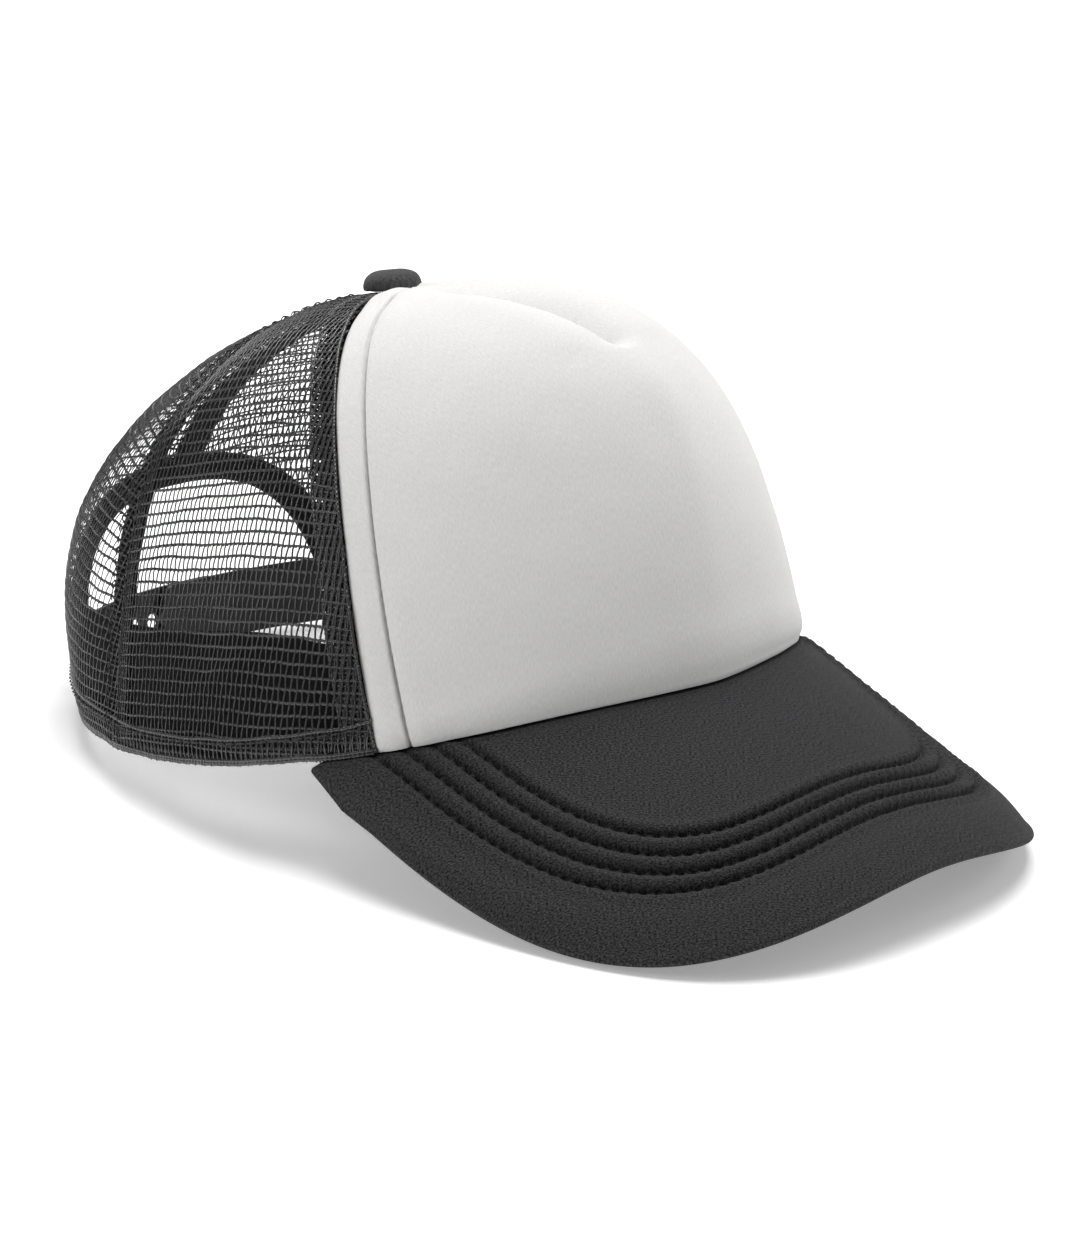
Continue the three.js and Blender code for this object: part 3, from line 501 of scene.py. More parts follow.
# bells of the panel's face by distance from the seam, from the hem and from the centre line
STRIP_SWELL = (0.45, 4.0, 2.4)
GROOVE = (-2.7, TOPSTITCH, 0.42)
GROOVE_SIDES = (-0.25, TOPSTITCH, 1.6)
BESIDE_GROOVE = (0.5, 11.5, 3.2)
HEM_TUCK = (-1.1, 0.0, 1.4)
HEM_SWELL = (0.4, 5.0, 3.0)
DART_SHOULDER = (1.0, 14.0, 8.0)

# the dart: where it starts up the panel, and how it runs out below the button
DART_START, DART_RUN, DART_END, DART_FADE = 0.425, 0.05, 0.86, 0.08
DART_DEPTH, DART_WIDTH = 7.4, 3.6
DART_DEEPEST, DART_SPREAD = 0.64, 0.3
TOP_RAISE = 0.9  # padding under the button
RIDGE_HEIGHT, RIDGE_WIDTH, RIDGE_ROUND = 2.2, 8.0, 4.0
PUCKER_STEP = 2.9


def panel_relief(th, t, p):
    """Height of the front panel's face above the crown surface, in mm."""
    seam = seam_angle(FRONT_SEAM, t)
    scale = mm_per_degree(seam, t)
    d = (seam - np.abs(th)) * scale
    # the groove fades where the panel is too narrow for it
    room = ease((seam * scale - 6) / 16)
    h = -1.5 * np.exp(-np.maximum(d, 0) ** 1.5)
    h += bell(d, STRIP_SWELL)
    pucker = 1 + 0.12 * np.cos(2 * math.pi * p[..., 2] / PUCKER_STEP)
    h += (pucker * bell(d, GROOVE) + bell(d, GROOVE_SIDES)) * room
    h += bell(d, BESIDE_GROOVE) * room
    up = t * CROWN_LENGTH
    h += bell(up, HEM_TUCK) + bell(up, HEM_SWELL)
    # the dart: a crease on the centre line with a soft shoulder on each side
    x = np.abs(p[..., 0])
    run = ease((t - DART_START) / DART_RUN) * (1 - ease((t - DART_END) / DART_FADE))
    middle = np.clip((t - DART_DEEPEST) / DART_SPREAD, -1, 1)
    deep = 0.25 + 0.75 * np.cos(middle * math.pi / 2) ** 2
    h += run * deep * (bell(x, DART_SHOULDER) - DART_DEPTH * np.exp(-x / DART_WIDTH))
    h += TOP_RAISE * ease((t - 0.78) / 0.12)
    # the ridge that runs down from the dart's point
    below = ease((DART_START + 0.02 - t) / 0.1) * ease(t / 0.3)
    h += RIDGE_HEIGHT * below * np.exp(-np.hypot(x, RIDGE_ROUND) / RIDGE_WIDTH)
    return h + 0.22 * wobble(p, 55.0, 3) + 0.06 * wobble(p, 16.0, 4)


def turn_in(p, n, depths):
    """Adds rows all round a grid that turn its edges inwards."""
    back = depths[::-1]
    p = np.concatenate([p[:1] - n[:1] * d for d in back] + [p]
                       + [p[-1:] - n[-1:] * d for d in depths])
    n = np.pad(n, ((len(depths), len(depths)), (0, 0), (0, 0)), mode="edge")
    return np.concatenate([p[:, :1] - n[:, :1] * d for d in back] + [p]
                          + [p[:, -1:] - n[:, -1:] * d for d in depths], 1)


def cloth_uv(p):
    """Cloth coordinates in mm from a grid: arc length along rows and up columns."""
    du = np.linalg.norm(np.diff(p, axis=1), axis=-1)
    u = np.concatenate([np.zeros((p.shape[0], 1)), np.cumsum(du, 1)], 1)
    u = u - u[:, p.shape[1] // 2][:, None]
    dv = np.linalg.norm(np.diff(p, axis=0), axis=-1)
    v = np.concatenate([np.zeros((1, p.shape[1])), np.cumsum(dv, 0)], 0)
    return np.stack([u, v], -1)


NEAR_SEAM, NEAR_SHARE = 16.0, 0.34  # dense columns reach this far, or this share of the row


def front_panel():
    near, middle, rows = ((72, 208, 250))
    hem = [0, 0.0025, 0.005, 0.0075]
    t = np.concatenate([hem, np.linspace(0.01, TOP_END, rows)])[:, None]
    half = seam_angle(FRONT_SEAM, t)
    span = half * mm_per_degree(half, t)
    near_d = np.minimum(NEAR_SEAM, NEAR_SHARE * span)
    dense = near_d * np.linspace(0, 1, near + 1)[None]
    rest = near_d + (span - near_d) * np.linspace(0, 1, middle // 2 + 1)[None, 1:]
    from_seam = np.concatenate([dense, rest], 1) / span
    th = half * np.concatenate([from_seam - 1, (1 - from_seam[:, :-1])[:, ::-1]], 1)
    t = np.broadcast_to(t, th.shape)
    base, normal = crown(th, t), crown_normal(th, t)
    face = base + normal * panel_relief(th, t, base)[..., None]
    edge = len(EDGE_TURN)
    uv = np.pad(cloth_uv(face), ((edge, edge), (edge, edge), (0, 0)), mode="edge")
    face = turn_in(face, normal, EDGE_TURN)
    o = cap_piece("front_panel", face, grid_faces(*face.shape[:2]), KNIT, "panel_knit",
                  "front_panel_fabric", uv=uv)


LINING_DEPTH, LINING_FOLLOW = 2.75, 0.55  # how deep it lies, and its share of the face's dips


def foam_lining():
    rows, columns = 70, 110
    t = np.linspace(0, TOP_END, rows)[:, None]
    th = seam_angle(FRONT_SEAM, t) * np.linspace(-1, 1, columns)[None]
    t = np.broadcast_to(t, th.shape)
    base, normal = crown(th, t), crown_normal(th, t)
    depth = LINING_DEPTH - LINING_FOLLOW * np.minimum(panel_relief(th, t, base), 0)
    inner = base - normal * (depth - 0.2 * wobble(base, 24.0, 8))[..., None]
    o = cap_piece("front_foam_lining", inner, grid_faces(rows, columns)[:, ::-1], LINING, "foam",
                  "front_panel_foam", uv=cloth_uv(inner))


def topstitching():
    for hand, side in SIDES:
        t = np.linspace(0.012, 0.93, 260)
        seam = seam_angle(FRONT_SEAM, t)
        th = seam - TOPSTITCH / mm_per_degree(seam, t)
        keep = th > 6
        t, th = t[keep], th[keep]
        p, n = crown(hand * th, t), crown_normal(hand * th, t)
        p = p + n * (panel_relief(th, t, p) + 0.12)[..., None]
        v, f = stitches(p, n, "panel", lift=-0.1)
        cap_piece(f"topstitch_{side}", v, f, WHITE_THREAD, "white_thread",
                  f"front_topstitch_{side}")


front_panel()
foam_lining()
topstitching()

# ---------- mesh panels
RIB_PITCH, THREAD_PITCH = 3.15, 1.58
MESH_DEPTH, DOUBLED_DEPTH = 0.35, 1.15
EDGE_LAYERS = ((0.75, 0.62), (1.5, 0.17))  # depth and phase of the layers at the front seam
EDGE_WIDTH, ALLOWANCE, HEM_HEIGHT = 7.2, 5.0, 9.5
ABOVE_RIM = 0.004
STRAND_SWING, STRAND_RISE, STRAND_WAVE = 0.2, 0.09, 0.12
THREAD_LEAN, THREAD_BOW = 0.13, 0.14
HALF_WIDE, RIB_HALF_HIGH, THREAD_HALF_HIGH = 0.28, 0.17, 0.14
MESH_STEPS = 3  # samples from one crossing to the next

# of each panel: the angle of its middle, how far its grain's axis lies behind the button, and
# the angles that it spans
PANELS = {"side": (91.0, 20.0, 52, 152), "back": (147.0, 70.0, 108, 188)}


def mesh_sink(th, t, p):
    """How far the soft mesh hangs inside the fair surface."""
    d = seam_distance(SIDE_SEAM, th, t)
    pinch = bell(d, (1.5, 0.0, 6.5)) * ease(t / 0.12) * (1 - ease((t - 0.6) / 0.3))
    hem = bell(t * CROWN_LENGTH, (0.8, 0.0, 3.5))
    return pinch + hem + 0.35 * wobble(p, 48.0, 31) + 0.12 * wobble(p, 18.0, 32)


def rib_drift(p):
    """Ribs wander up and down a little, as loose knitting does."""
    return 0.28 * wobble(p, 34.0, 21) + 0.1 * wobble(p, 9.0, 22)


def side_mask(th, t, p):
    inside = (seam_distance(FRONT_SEAM, th, t) > 0.1) & (seam_distance(SIDE_SEAM, th, t) < 0.3)
    return inside & (t > ABOVE_RIM) & (t < TOP_END)


def back_mask(th, t, p):
    inside = (seam_distance(SIDE_SEAM, th, t) > -0.4) & (p[..., 0] < 0.4)
    return inside & (t > ABOVE_RIM) & (t < TOP_END) & ~in_arch(p, 0.6)


def edge_only(mask):
    """Where the side panel is folded at the front seam."""
    def inside(th, t, p):
        return mask(th, t, p) & (seam_distance(FRONT_SEAM, th, t) < EDGE_WIDTH)
    return inside


def allowance(mask, kind):
    """Where the panel is doubled: seam allowances and the turned-up hem."""
    def inside(th, t, p):
        near = np.abs(seam_distance(SIDE_SEAM, th, t)) < ALLOWANCE
        if kind == "side":
            near = near | (seam_distance(FRONT_SEAM, th, t) < 7.5)
        else:
            near = near | (np.abs(p[..., 0]) < ALLOWANCE)
        return mask(th, t, p) & (near | (t * CROWN_LENGTH < HEM_HEIGHT))
    return inside


TURN_WEIGHT = 1.6  # mm that a degree counts for when looking for the nearest sample
MISS = 0.3


class Grain:
    """A mesh panel's own coordinates: mm across its threads, and degrees up round its axis."""

    def __init__(self, kind):
        self.centre, axis_back, lo, hi = PANELS[kind]
        x, y = (float(v) for v in plan(np.array(self.centre)))
        self.out = unit(np.array([x, y - BUTTON_Y * 0.6, 0.0]))
        self.across = np.array([-self.out[1], self.out[0], 0.0])
        self.axis = np.array([0.0, BUTTON_Y, -12.0]) - self.out * axis_back
        th, t = np.meshgrid(np.linspace(lo, hi, 70), np.linspace(0, 0.985, 50), indexing="ij")
        self.th, self.t = th.ravel(), t.ravel()
        self.sample = self.at(self.th, self.t)
        self.tree = KDTree(len(self.th))
        for k, (u, turn) in enumerate(self.sample):
            self.tree.insert((u, turn * TURN_WEIGHT, 0), k)
        self.tree.balance()

    def at(self, th, t):
        p = crown(th, t) - self.axis
        turn = np.degrees(np.arctan2(p[..., 2], p @ self.out))
        return np.stack([p @ self.across, turn], -1)

    def locate(self, u, turn):
        """Crown coordinates of points of the grain, and which of them miss the crown."""
        near = np.array([self.tree.find((a, b * TURN_WEIGHT, 0))[1]
                         for a, b in zip(u.ravel(), turn.ravel())])
        goal = np.stack([u, turn], -1)
        th, t = solve(self.at, goal, self.th[near].reshape(u.shape),
                      self.t[near].reshape(u.shape))
        return th, t, np.abs(self.at(th, t) - goal).max(-1) > MISS

    def rib_turns(self, phase):
        """The ribs' angles, at even spacing up the panel's middle."""
        t = np.linspace(0, 0.985, 400)
        middle = np.full(400, self.centre)
        arc = arc_length(crown(middle, t))
        turn = self.at(middle, t)[:, 1]
        place = (np.arange(-4, arc[-1] / RIB_PITCH + 3) + phase) * RIB_PITCH
        slope = (turn[5] - turn[0]) / (arc[5] - arc[0])
        return np.where(place < 0, turn[0] + place * slope, np.interp(place, arc, turn))

    def columns(self, phase):
        lo, hi = self.sample[:, 0].min(), self.sample[:, 0].max()
        return np.arange(math.floor(lo / THREAD_PITCH), math.ceil(hi / THREAD_PITCH) + 1) + phase


def mesh_ribs(grain, depth, mask, phase, stout):
    """Two strands to a rib, crossing at every thread."""
    cols, turns = grain.columns(phase), grain.rib_turns(phase)
    fine = np.linspace(cols[0], cols[-1], (len(cols) - 1) * MESH_STEPS + 1)
    th, t, miss = grain.locate(*np.meshgrid(fine * THREAD_PITCH, turns))
    p, n = crown(th, t), crown_normal(th, t)
    valid = mask(th, t, p) & ~miss
    up = unit(np.cross(n, np.gradient(p, axis=1)))
    up = up * np.sign(up[..., 2:3] + 1e-9)
    drift, sink = rib_drift(p), mesh_sink(th, t, p)
    twist = 2 * math.pi * fine[None] + 0.7 * np.arange(len(turns))[:, None]
    ribs = []
    for sign in (1, -1):
        swing = sign * STRAND_SWING * np.sin(twist) + drift + STRAND_WAVE * np.cos(2 * twist)
        rise = sign * STRAND_RISE * np.cos(twist) - 0.08
        q = p + up * swing[..., None] + n * (rise - depth - sink)[..., None]
        ribs.append(tubes(q, n, valid, HALF_WIDE * stout, RIB_HALF_HIGH * stout, 4))
    return ribs


def mesh_threads(grain, depth, mask, phase, stout):
    """Thin threads from rib to rib, leaning a little to one side then the other."""
    cols, turns = grain.columns(phase), grain.rib_turns(phase)
    rows = np.arange(len(turns), dtype=float)
    fine = np.linspace(0, len(rows) - 1, (len(rows) - 1) * MESH_STEPS + 1)
    u, turn = np.meshgrid(cols * THREAD_PITCH, np.interp(fine, rows, turns), indexing="ij")
    hand = np.where(np.arange(len(cols)) % 2, 1, -1)[:, None]
    u = u + THREAD_LEAN * np.cos(math.pi * fine)[None] * hand
    th, t, miss = grain.locate(u, turn)
    p, n = crown(th, t), crown_normal(th, t)
    valid = mask(th, t, p) & ~miss
    bow = THREAD_BOW * np.abs(np.sin(math.pi * fine))
    q = p - n * (depth + mesh_sink(th, t, p) - 0.06 - bow)[..., None]
    q[..., 2] += rib_drift(p)
    return [tubes(q, n, valid, HALF_WIDE * stout, THREAD_HALF_HIGH * stout, 4)]


def mesh_panels():
    for kind, mask in (("side", side_mask), ("back", back_mask)):
        grain = Grain(kind)
        doubled = [(DOUBLED_DEPTH, allowance(mask, kind), 0.37, 1.05)]
        if kind == "side":
            doubled += [(depth, edge_only(mask), phase, 1.6) for depth, phase in EDGE_LAYERS]
        single = (MESH_DEPTH, mask, 0.0, 1.0)
        pieces = {
            "ribs": mesh_ribs(grain, *single),
            "threads": mesh_threads(grain, *single),
            "allowance": sum([mesh_ribs(grain, *layer) + mesh_threads(grain, *layer)
                              for layer in doubled], []),
        }
        for what, parts in pieces.items():
            v, f = join(parts)
            for hand, side in SIDES:
                faces = f if hand > 0 else f[:, ::-1]
                cap_piece(f"{kind}_mesh_{what}_{side}", v * [hand, 1, 1], faces, NYLON, "mesh",
                          f"{kind}_mesh_{side}")


mesh_panels()

# ---------- tapes, hem and seam stitches
TAPE_THICK, TAPE_ACROSS, TAPE_CROWN = 0.7, 11, 0.25
TAPE_ROWS = (-3, 3)  # stitch rows each side of a tape's middle
TAPE_FOOT, TAPE_TOP = 0.01, 0.93


def tape(name, node, line, foot, width, depth, outside=True):
    """A closed ribbon inside a seam, whose angle is line(t), with two rows of stitches."""
    t = np.linspace(foot, TAPE_TOP, 150)[:, None]
    middle = line(t)
    k = np.linspace(-1, 1, TAPE_ACROSS)[None]
    half = np.minimum(width / 2 / mm_per_degree(middle, t), 30)
    th, t = np.broadcast_arrays(middle + k * half, t)
    p, n = crown(th, t), crown_normal(th, t)
    sag = depth + mesh_sink(np.abs(th), t, p) * 0.8 + 0.1 * wobble(p, 7.0, 41)
    rounding = 0.5 * np.abs(k) ** 6 * TAPE_THICK
    outer = p - n * (sag + rounding)[..., None]
    inner = p - n * (sag + TAPE_THICK - rounding + TAPE_CROWN * (1 - k ** 2))[..., None]
    ring = np.concatenate([outer, inner[:, ::-1]], 1)
    a = np.concatenate([k[0], k[0, ::-1]]) * width / 2
    arc = arc_length(p[:, TAPE_ACROSS // 2])
    uv = np.stack(np.broadcast_arrays(a[None], arc[:, None]), -1)
    cap_piece(name, ring, grid_faces(*ring.shape[:2], wrap=True), TAPE, "tape", node, uv=uv)
    parts = []
    for row in TAPE_ROWS:
        c = round((row / width + 0.5) * (TAPE_ACROSS - 1))
        up = n[:, c]
        parts.append(stitches(inner[:, c], -up, "tape", lift=0.1))
        if outside:
            on_mesh = outer[:, c] + up * (depth + 0.1)
            parts.append(stitches(on_mesh, up, "outside", lift=0.15))
    cap_piece(f"{name}_stitches", *join(parts), BLACK_THREAD, "black_thread")


def tapes():
    for hand, side in SIDES:
        tape(f"front_tape_{side}", f"front_seam_tape_{side}",
             lambda t: hand * seam_angle(FRONT_SEAM, t), TAPE_FOOT, 12.0, 3.1, outside=False)
        tape(f"side_tape_{side}", f"side_seam_tape_{side}",
             lambda t: hand * seam_angle(SIDE_SEAM, t), TAPE_FOOT, 11.0, 1.6)
    above_arch = rise_at_height(180.0, OPEN_HEIGHT) + 0.03
    tape("back_tape", "back_seam_tape", lambda t: np.full(t.shape, 180.0), above_arch, 11.0, 1.6)


# rows along the hem as (rise, depth, size), and along the front seam as (distance, depth, size)
HEM_CORDS = ((0.004, 0.5, 0.62), (0.011, 0.35, 0.5), (0.058, 0.2, 0.42))
SEAM_CORDS = ((0.4, 0.3, 0.38), (EDGE_WIDTH, 0.6, 0.36))
HEM_STITCH_RISE = 7.5 / CROWN_LENGTH


def edge_cord(hand, th, t, depth, half_wide, half_high):
    """A knobbly cord of folded mesh along a path on the crown."""
    depth = depth + mesh_sink(th, t, crown(th, t))
    p, n = crown(hand * th, t), crown_normal(hand * th, t)
    knot = np.arange(len(th)) * 1.9
    rise = 0.16 * np.sin(knot) + 0.12 * wobble(p, 12.0, 24)
    p = p - n * (depth + 0.12 * np.cos(knot))[:, None]
    p[:, 2] += rise
    width = half_wide * (1 + 0.3 * np.sin(np.arange(len(th)) * 2.6))
    return tubes(p[None], n[None], np.ones((1, len(th)), bool), width[None], half_high, 8)


def mesh_edges():
    """Folded edges of the mesh: along the hem, and where it meets the front panel."""
    steps = 420
    back = np.linspace(120, 178, 800)
    arch_foot = float(np.interp(-OPEN_HALF - 2.0, plan(back)[0], back))
    hem, seam_side = [], []
    for hand, _ in SIDES:
        th = np.linspace(FRONT_SEAM[0] + 0.6, arch_foot, steps)
        for rise, depth, size in HEM_CORDS:
            hem.append(edge_cord(hand, th, np.full(steps, rise), depth, size, size * 0.8))
        t = np.linspace(ABOVE_RIM, 0.92, steps)
        seam = seam_angle(FRONT_SEAM, t)
        for off, depth, size in SEAM_CORDS:
            th = seam + np.minimum(off / mm_per_degree(seam, t), 20)
            seam_side.append(edge_cord(hand, th, t, depth, size, size * 0.9))
    cap_piece("mesh_hem_edge", *join(hem), NYLON, "mesh")
    cap_piece("mesh_seam_edge", *join(seam_side), NYLON, "mesh")


def hem_stitches():
    """One row round the mesh, above its folded edge."""
    parts = []
    for hand, _ in SIDES:
        th = np.linspace(66, 156, 240)
        t = np.full(240, HEM_STITCH_RISE)
        p, n = crown(hand * th, t), crown_normal(hand * th, t)
        p = p - n * (mesh_sink(th, t, crown(th, t)) - 0.2)[..., None]
        parts.append(stitches(p, n, "hem", lift=0.15))
    cap_piece("hem_stitches", *join(parts), BLACK_THREAD, "black_thread")


tapes()
mesh_edges()
hem_stitches()

# ---------- sweatband
BAND_HEIGHT, BAND_GAP = 30.0, 11.0  # height, and how far it ends beside the opening
BAND_DIP, DIP_AT, DIP_SPREAD = 5.0, 68.0, 13.0
BAND_FRONT_DEPTH, BAND_BACK_DEPTH = 4.4, 2.7
BAND_WIDTH = 34.0  # of the cloth, with the part below the rim
BAND_ROWS = 30
BAND_STITCH = 5.0  # stitch row above the lower edge


def sweatband():
    columns = 420
    back = np.linspace(90, 180, 4000)
    end = float(back[np.argmax(np.abs(plan(back)[0]) < OPEN_HALF + BAND_GAP)])
    th = np.linspace(-end, end, columns)[:, None]
    up = np.linspace(0, 1, BAND_ROWS)
    rows = np.concatenate([up, up[::-1]])[None]
    inner_side = np.repeat([0.0, 1.0], BAND_ROWS)[None]
    foot = -BAND_FRONT_DEPTH * ease((BRIM_END + 4 - np.abs(th)) / 16)
    band_top = BAND_HEIGHT - bell(np.abs(th), (BAND_DIP, DIP_AT, DIP_SPREAD))
    height = foot + (band_top - foot) * rows
    goal = rim_height(th) + SEAM_GAP + np.maximum(height, 0)
    every_th = np.broadcast_to(th, height.shape)
    p = crown(every_th, np.where(height > 0, rise_at_height(every_th, goal), 0))
    outward = np.broadcast_to(crown_normal(th, np.zeros(th.shape)), p.shape)
    # padding between the two seam lines, then the edges rounded off
    pillow = 1.5 + 0.8 * np.sin(math.pi * rows) ** 0.6
    seam_line = bell(rows * BAND_WIDTH, (0.9, 31.5, 0.7)) + bell(rows * BAND_WIDTH, (0.9, 5, 0.8))
    edge_round = 0.45 * np.abs(rows * 2 - 1) ** 14
    depth = BAND_FRONT_DEPTH + (BAND_BACK_DEPTH - BAND_FRONT_DEPTH) * ease((np.abs(th) - 72) / 22)
    depth = depth + np.where(inner_side > 0, pillow - seam_line - edge_round, edge_round)
    depth = depth + 0.3 * wobble(p, 40.0, 51) + 0.12 * inner_side * wobble(p, 9.0, 52)
    p = p - outward * depth[..., None]
    p[..., 2] = goal + np.minimum(height, 0)
    # the inner face has its own stretch of cloth, 40 mm further along
    uv = np.stack(np.broadcast_arrays(arc_length(p[:, 0])[:, None],
                                      rows * BAND_WIDTH + 40 * inner_side), -1)
    o = cap_piece("sweatband_sewn", p, grid_faces(columns, 2 * BAND_ROWS, wrap=True), BAND,
                  "sweatband_twill", "sweatband", uv=uv)
    row = 2 * BAND_ROWS - 1 - round(BAND_STITCH / BAND_WIDTH * (BAND_ROWS - 1))
    v, f = stitches(p[:, row], -outward[:, 0], "band", lift=0.1)
    cap_piece("sweatband_stitches", v, f, BLACK_THREAD, "black_thread")


sweatband()

# ---------- arch binding
# section of the folded binding: distance from the opening's edge, then depth; the first half
# is outside the mesh
BINDING = np.array([(7.0, -0.5), (6.6, -0.85), (5, -0.95), (2.6, -0.95), (0.3, -0.95),
                    (-0.7, -0.7), (-1.15, 0.0), (-1.2, 0.55), (-1.05, 1.2), (-0.6, 1.75),
                    (0.4, 2.0), (2.6, 2.0), (5, 2.0), (6.6, 1.9), (7.0, 1.5)])
BINDING_STITCHES = ((3, 1), (1, 1), (11, -1), (13, -1))  # corner of the section, and which way


def arch_binding():
    count = 220
    turn = np.linspace(0, math.pi, count)
    x = -OPEN_HALF * np.sign(np.cos(turn)) * np.abs(np.cos(turn)) ** (2 / OPEN_POWER)
    z = np.maximum(OPEN_HEIGHT * np.sin(turn) ** (2 / OPEN_POWER), 0)
    first_th = np.degrees(np.arctan2(-x, -105.0)) % 360
    first_t = np.clip(z / CROWN_LENGTH, 0.0, 0.4)
    th, t = solve(lambda a, b: crown(a, b)[..., [0, 2]], np.stack([x, z], -1), first_th, first_t,
                  14)
    t = np.maximum(t, 0)
    path = crown(th, t)
    normal = crown_normal(th, np.maximum(t, ABOVE_RIM))
    # away from the opening, in the cloth
    away = unit(np.cross(unit(np.gradient(path, axis=0)), normal))
    sideways = np.abs(path[:, 0]) / 90 * np.sign(away[:, 0] * path[:, 0])
    away = away * np.sign(away[:, 2] + sideways + 1e-9)[:, None]
    by_th = (crown(th + 0.5, t) - crown(th - 0.5, t)) / 1.0
    by_t = (crown(th, t + 0.004) - crown(th, t)) / 0.004

    def walk(distance):
        """Crown coordinates at a distance from the opening's edge."""
        aa, au, uu = (by_th * by_th).sum(-1), (by_th * by_t).sum(-1), (by_t * by_t).sum(-1)
        a, u = (by_th * away).sum(-1) * distance, (by_t * away).sum(-1) * distance
        det = aa * uu - au * au
        return th + (a * uu - u * au) / det, np.maximum(t + (u * aa - a * au) / det, 0)

    rings = []
    for distance, depth in BINDING:
        a, b = walk(distance)
        q = crown(a, b)
        soft = 0.12 * wobble(q, 9.0, 61) + 0.4 * mesh_sink(np.minimum(a, 360 - a), b, q)
        rings.append(q - crown_normal(a, b) * (depth + soft)[..., None])
    ring = np.stack(rings, 1)
    uv = np.stack(np.broadcast_arrays(arc_length(BINDING)[None], arc_length(path)[:, None]), -1)
    cap_piece("arch_edge_binding", ring, grid_faces(count, len(BINDING), wrap=True), TAPE, "tape",
              "arch_binding", uv=uv)
    parts = []
    for corner, sign in BINDING_STITCHES:
        out = crown_normal(*walk(BINDING[corner][0])) * sign
        parts.append(stitches(ring[:, corner], out, "binding", lift=0.12))
    cap_piece("arch_binding_stitches", *join(parts), BLACK_THREAD, "black_thread")


arch_binding()

# ---------- brim
STITCH_STEP = 3.4
SLOPE_X, SLOPE_Y = 1.12, 1.18  # cloth length over plan length, across and along the brim
EDGE_ROLL = 4.2  # radius of the rolled edge
END_ROUND = (0.93, 0.055)  # where the brim's ends round off, as shares of half the edge

# bells by distance from a stitch row, then from the brim's edge and from the crown
ROW_GROOVE = (-1.5, 0.0, 0.62)
ROW_VALLEY = (-0.3, 0.0, 1.5)
EDGE_SWELL = (0.8, 10.0, 5.5)
EDGE_TUCK = (-0.9, 0.0, 4.5)
ROOT_TUCK = (-0.9, 0.0, 1.3)


def brim_outline(s, half, reach, corner, front, back_y):
    """A rounded outline from corner to corner as s goes from -1 to 1: its sizes and powers."""
    sine, cosine = np.sin(s * math.pi / 2), np.cos(s * math.pi / 2)
    x = half * np.abs(sine) ** (2 / corner)
    return x, back_y - (reach + back_y) * np.abs(cosine) ** (2 / front), -np.sign(sine)


def brim_edge(s):
    """The brim's edge in plan, drawn in towards the crown near its corners."""
    x, y, hand = brim_outline(s, BRIM_HALF, BRIM_REACH, CORNER_POWER, FRONT_POWER, CORNER[1])
    k = np.clip((CORNER[1] - y) / BRIM_LEAD, 0, 1)
    tuck = (BRIM_HALF - abs(CORNER[0]) - 1) * (1 - k) ** 2
    return np.stack([hand * (x - tuck), y], -1)


def brim_row(k, s):
    """Stitch row k in plan, the sizes going evenly from the inner row to the outer."""
    sizes = [a + (b - a) * k / (ROWS - 1) for a, b in zip(ROW_INNER, ROW_OUTER)]
    x, y, hand = brim_outline(s, *sizes, -ROW_BACK)
    return np.stack([hand * x, y], -1)


def even_row(k):
    """Stitch row k at even steps in plan, and the place of each point along the cloth."""
    r = brim_row(k, np.sin(np.linspace(-1, 1, 900) * math.pi / 2))
    arc = arc_length(r)
    even = np.arange(0, arc[-1], 0.5)
    return np.stack([np.interp(even, arc, r[:, 0]), np.interp(even, arc, r[:, 1])], -1), even * 1.1


ROW_PATHS = [even_row(k) for k in range(ROWS)]


def brim_up(x):
    return unit(np.stack([x / np.sqrt(ARCH_R ** 2 - x * x), np.full(x.shape, -BRIM_DROP),
                          np.ones(x.shape)], -1))


def beyond_rim(x, y):
    """Distance in front of the crown, in plan."""
    px, py = plan(np.degrees(np.arctan2(-x, -y)))
    return np.hypot(x, y) - np.hypot(px, py)


def row_distance(x, y, batch=20000):
    """Distance to each stitch row in plan, and the place along it."""
    q = np.stack([x, y], -1).reshape(-1, 2)
    found = []
    for r, along in ROW_PATHS:
        best, where = np.empty(len(q)), np.empty(len(q))
        for k in range(0, len(q), batch):
            d = np.linalg.norm(q[k:k + batch, None] - r[None], axis=-1)
            best[k:k + batch] = d.min(1)
            where[k:k + batch] = along[d.argmin(1)]
        found.append((best.reshape(x.shape), where.reshape(x.shape)))
    return found


def brim_relief(x, y, from_edge):
    """Height of the padded face above the brim's fair surface."""
    h = np.zeros(x.shape)
    for d, where in row_distance(x, y):
        d = d * SLOPE_X
        pucker = np.cos(where * 2 * math.pi / STITCH_STEP)
        h += (1 + 0.3 * pucker) * bell(d, ROW_GROOVE) + bell(d, ROW_VALLEY)
        h += bell(d, (0.46 - 0.16 * pucker, 2.1, 1.15))
    h += bell(from_edge, EDGE_SWELL) + bell(from_edge, EDGE_TUCK)
    h += bell(np.maximum(beyond_rim(x, y), 0), ROOT_TUCK)
    p = np.stack([x, y, 0 * x], -1)
    return h + 0.16 * wobble(p, 40.0, 71) + 0.05 * wobble(p, 11.0, 72)


def edge_distances(total, dense):
    """Distances from the brim's edge for each column: close at the edge and over the rows."""
    close = np.array([0, 0.08, 0.22, 0.45, 0.75, 1.1, 1.55, 2.1, 2.8])
    start = np.full(len(total), close[-1])
    knots = np.stack([start, start + np.minimum(total - start, 5.2) / 2,
                      np.minimum(32, total * 0.6), total], -1)
    e = [np.broadcast_to(close, (len(total), len(close)))]
    for k, count in enumerate((dense // 10, dense, dense // 2 + 8)):
        share = np.linspace(0, 1, count + 1)[None, 1:]
        e.append(knots[:, k:k + 1] * (1 - share) + knots[:, k + 1:k + 2] * share)
    return np.concatenate(e, 1)


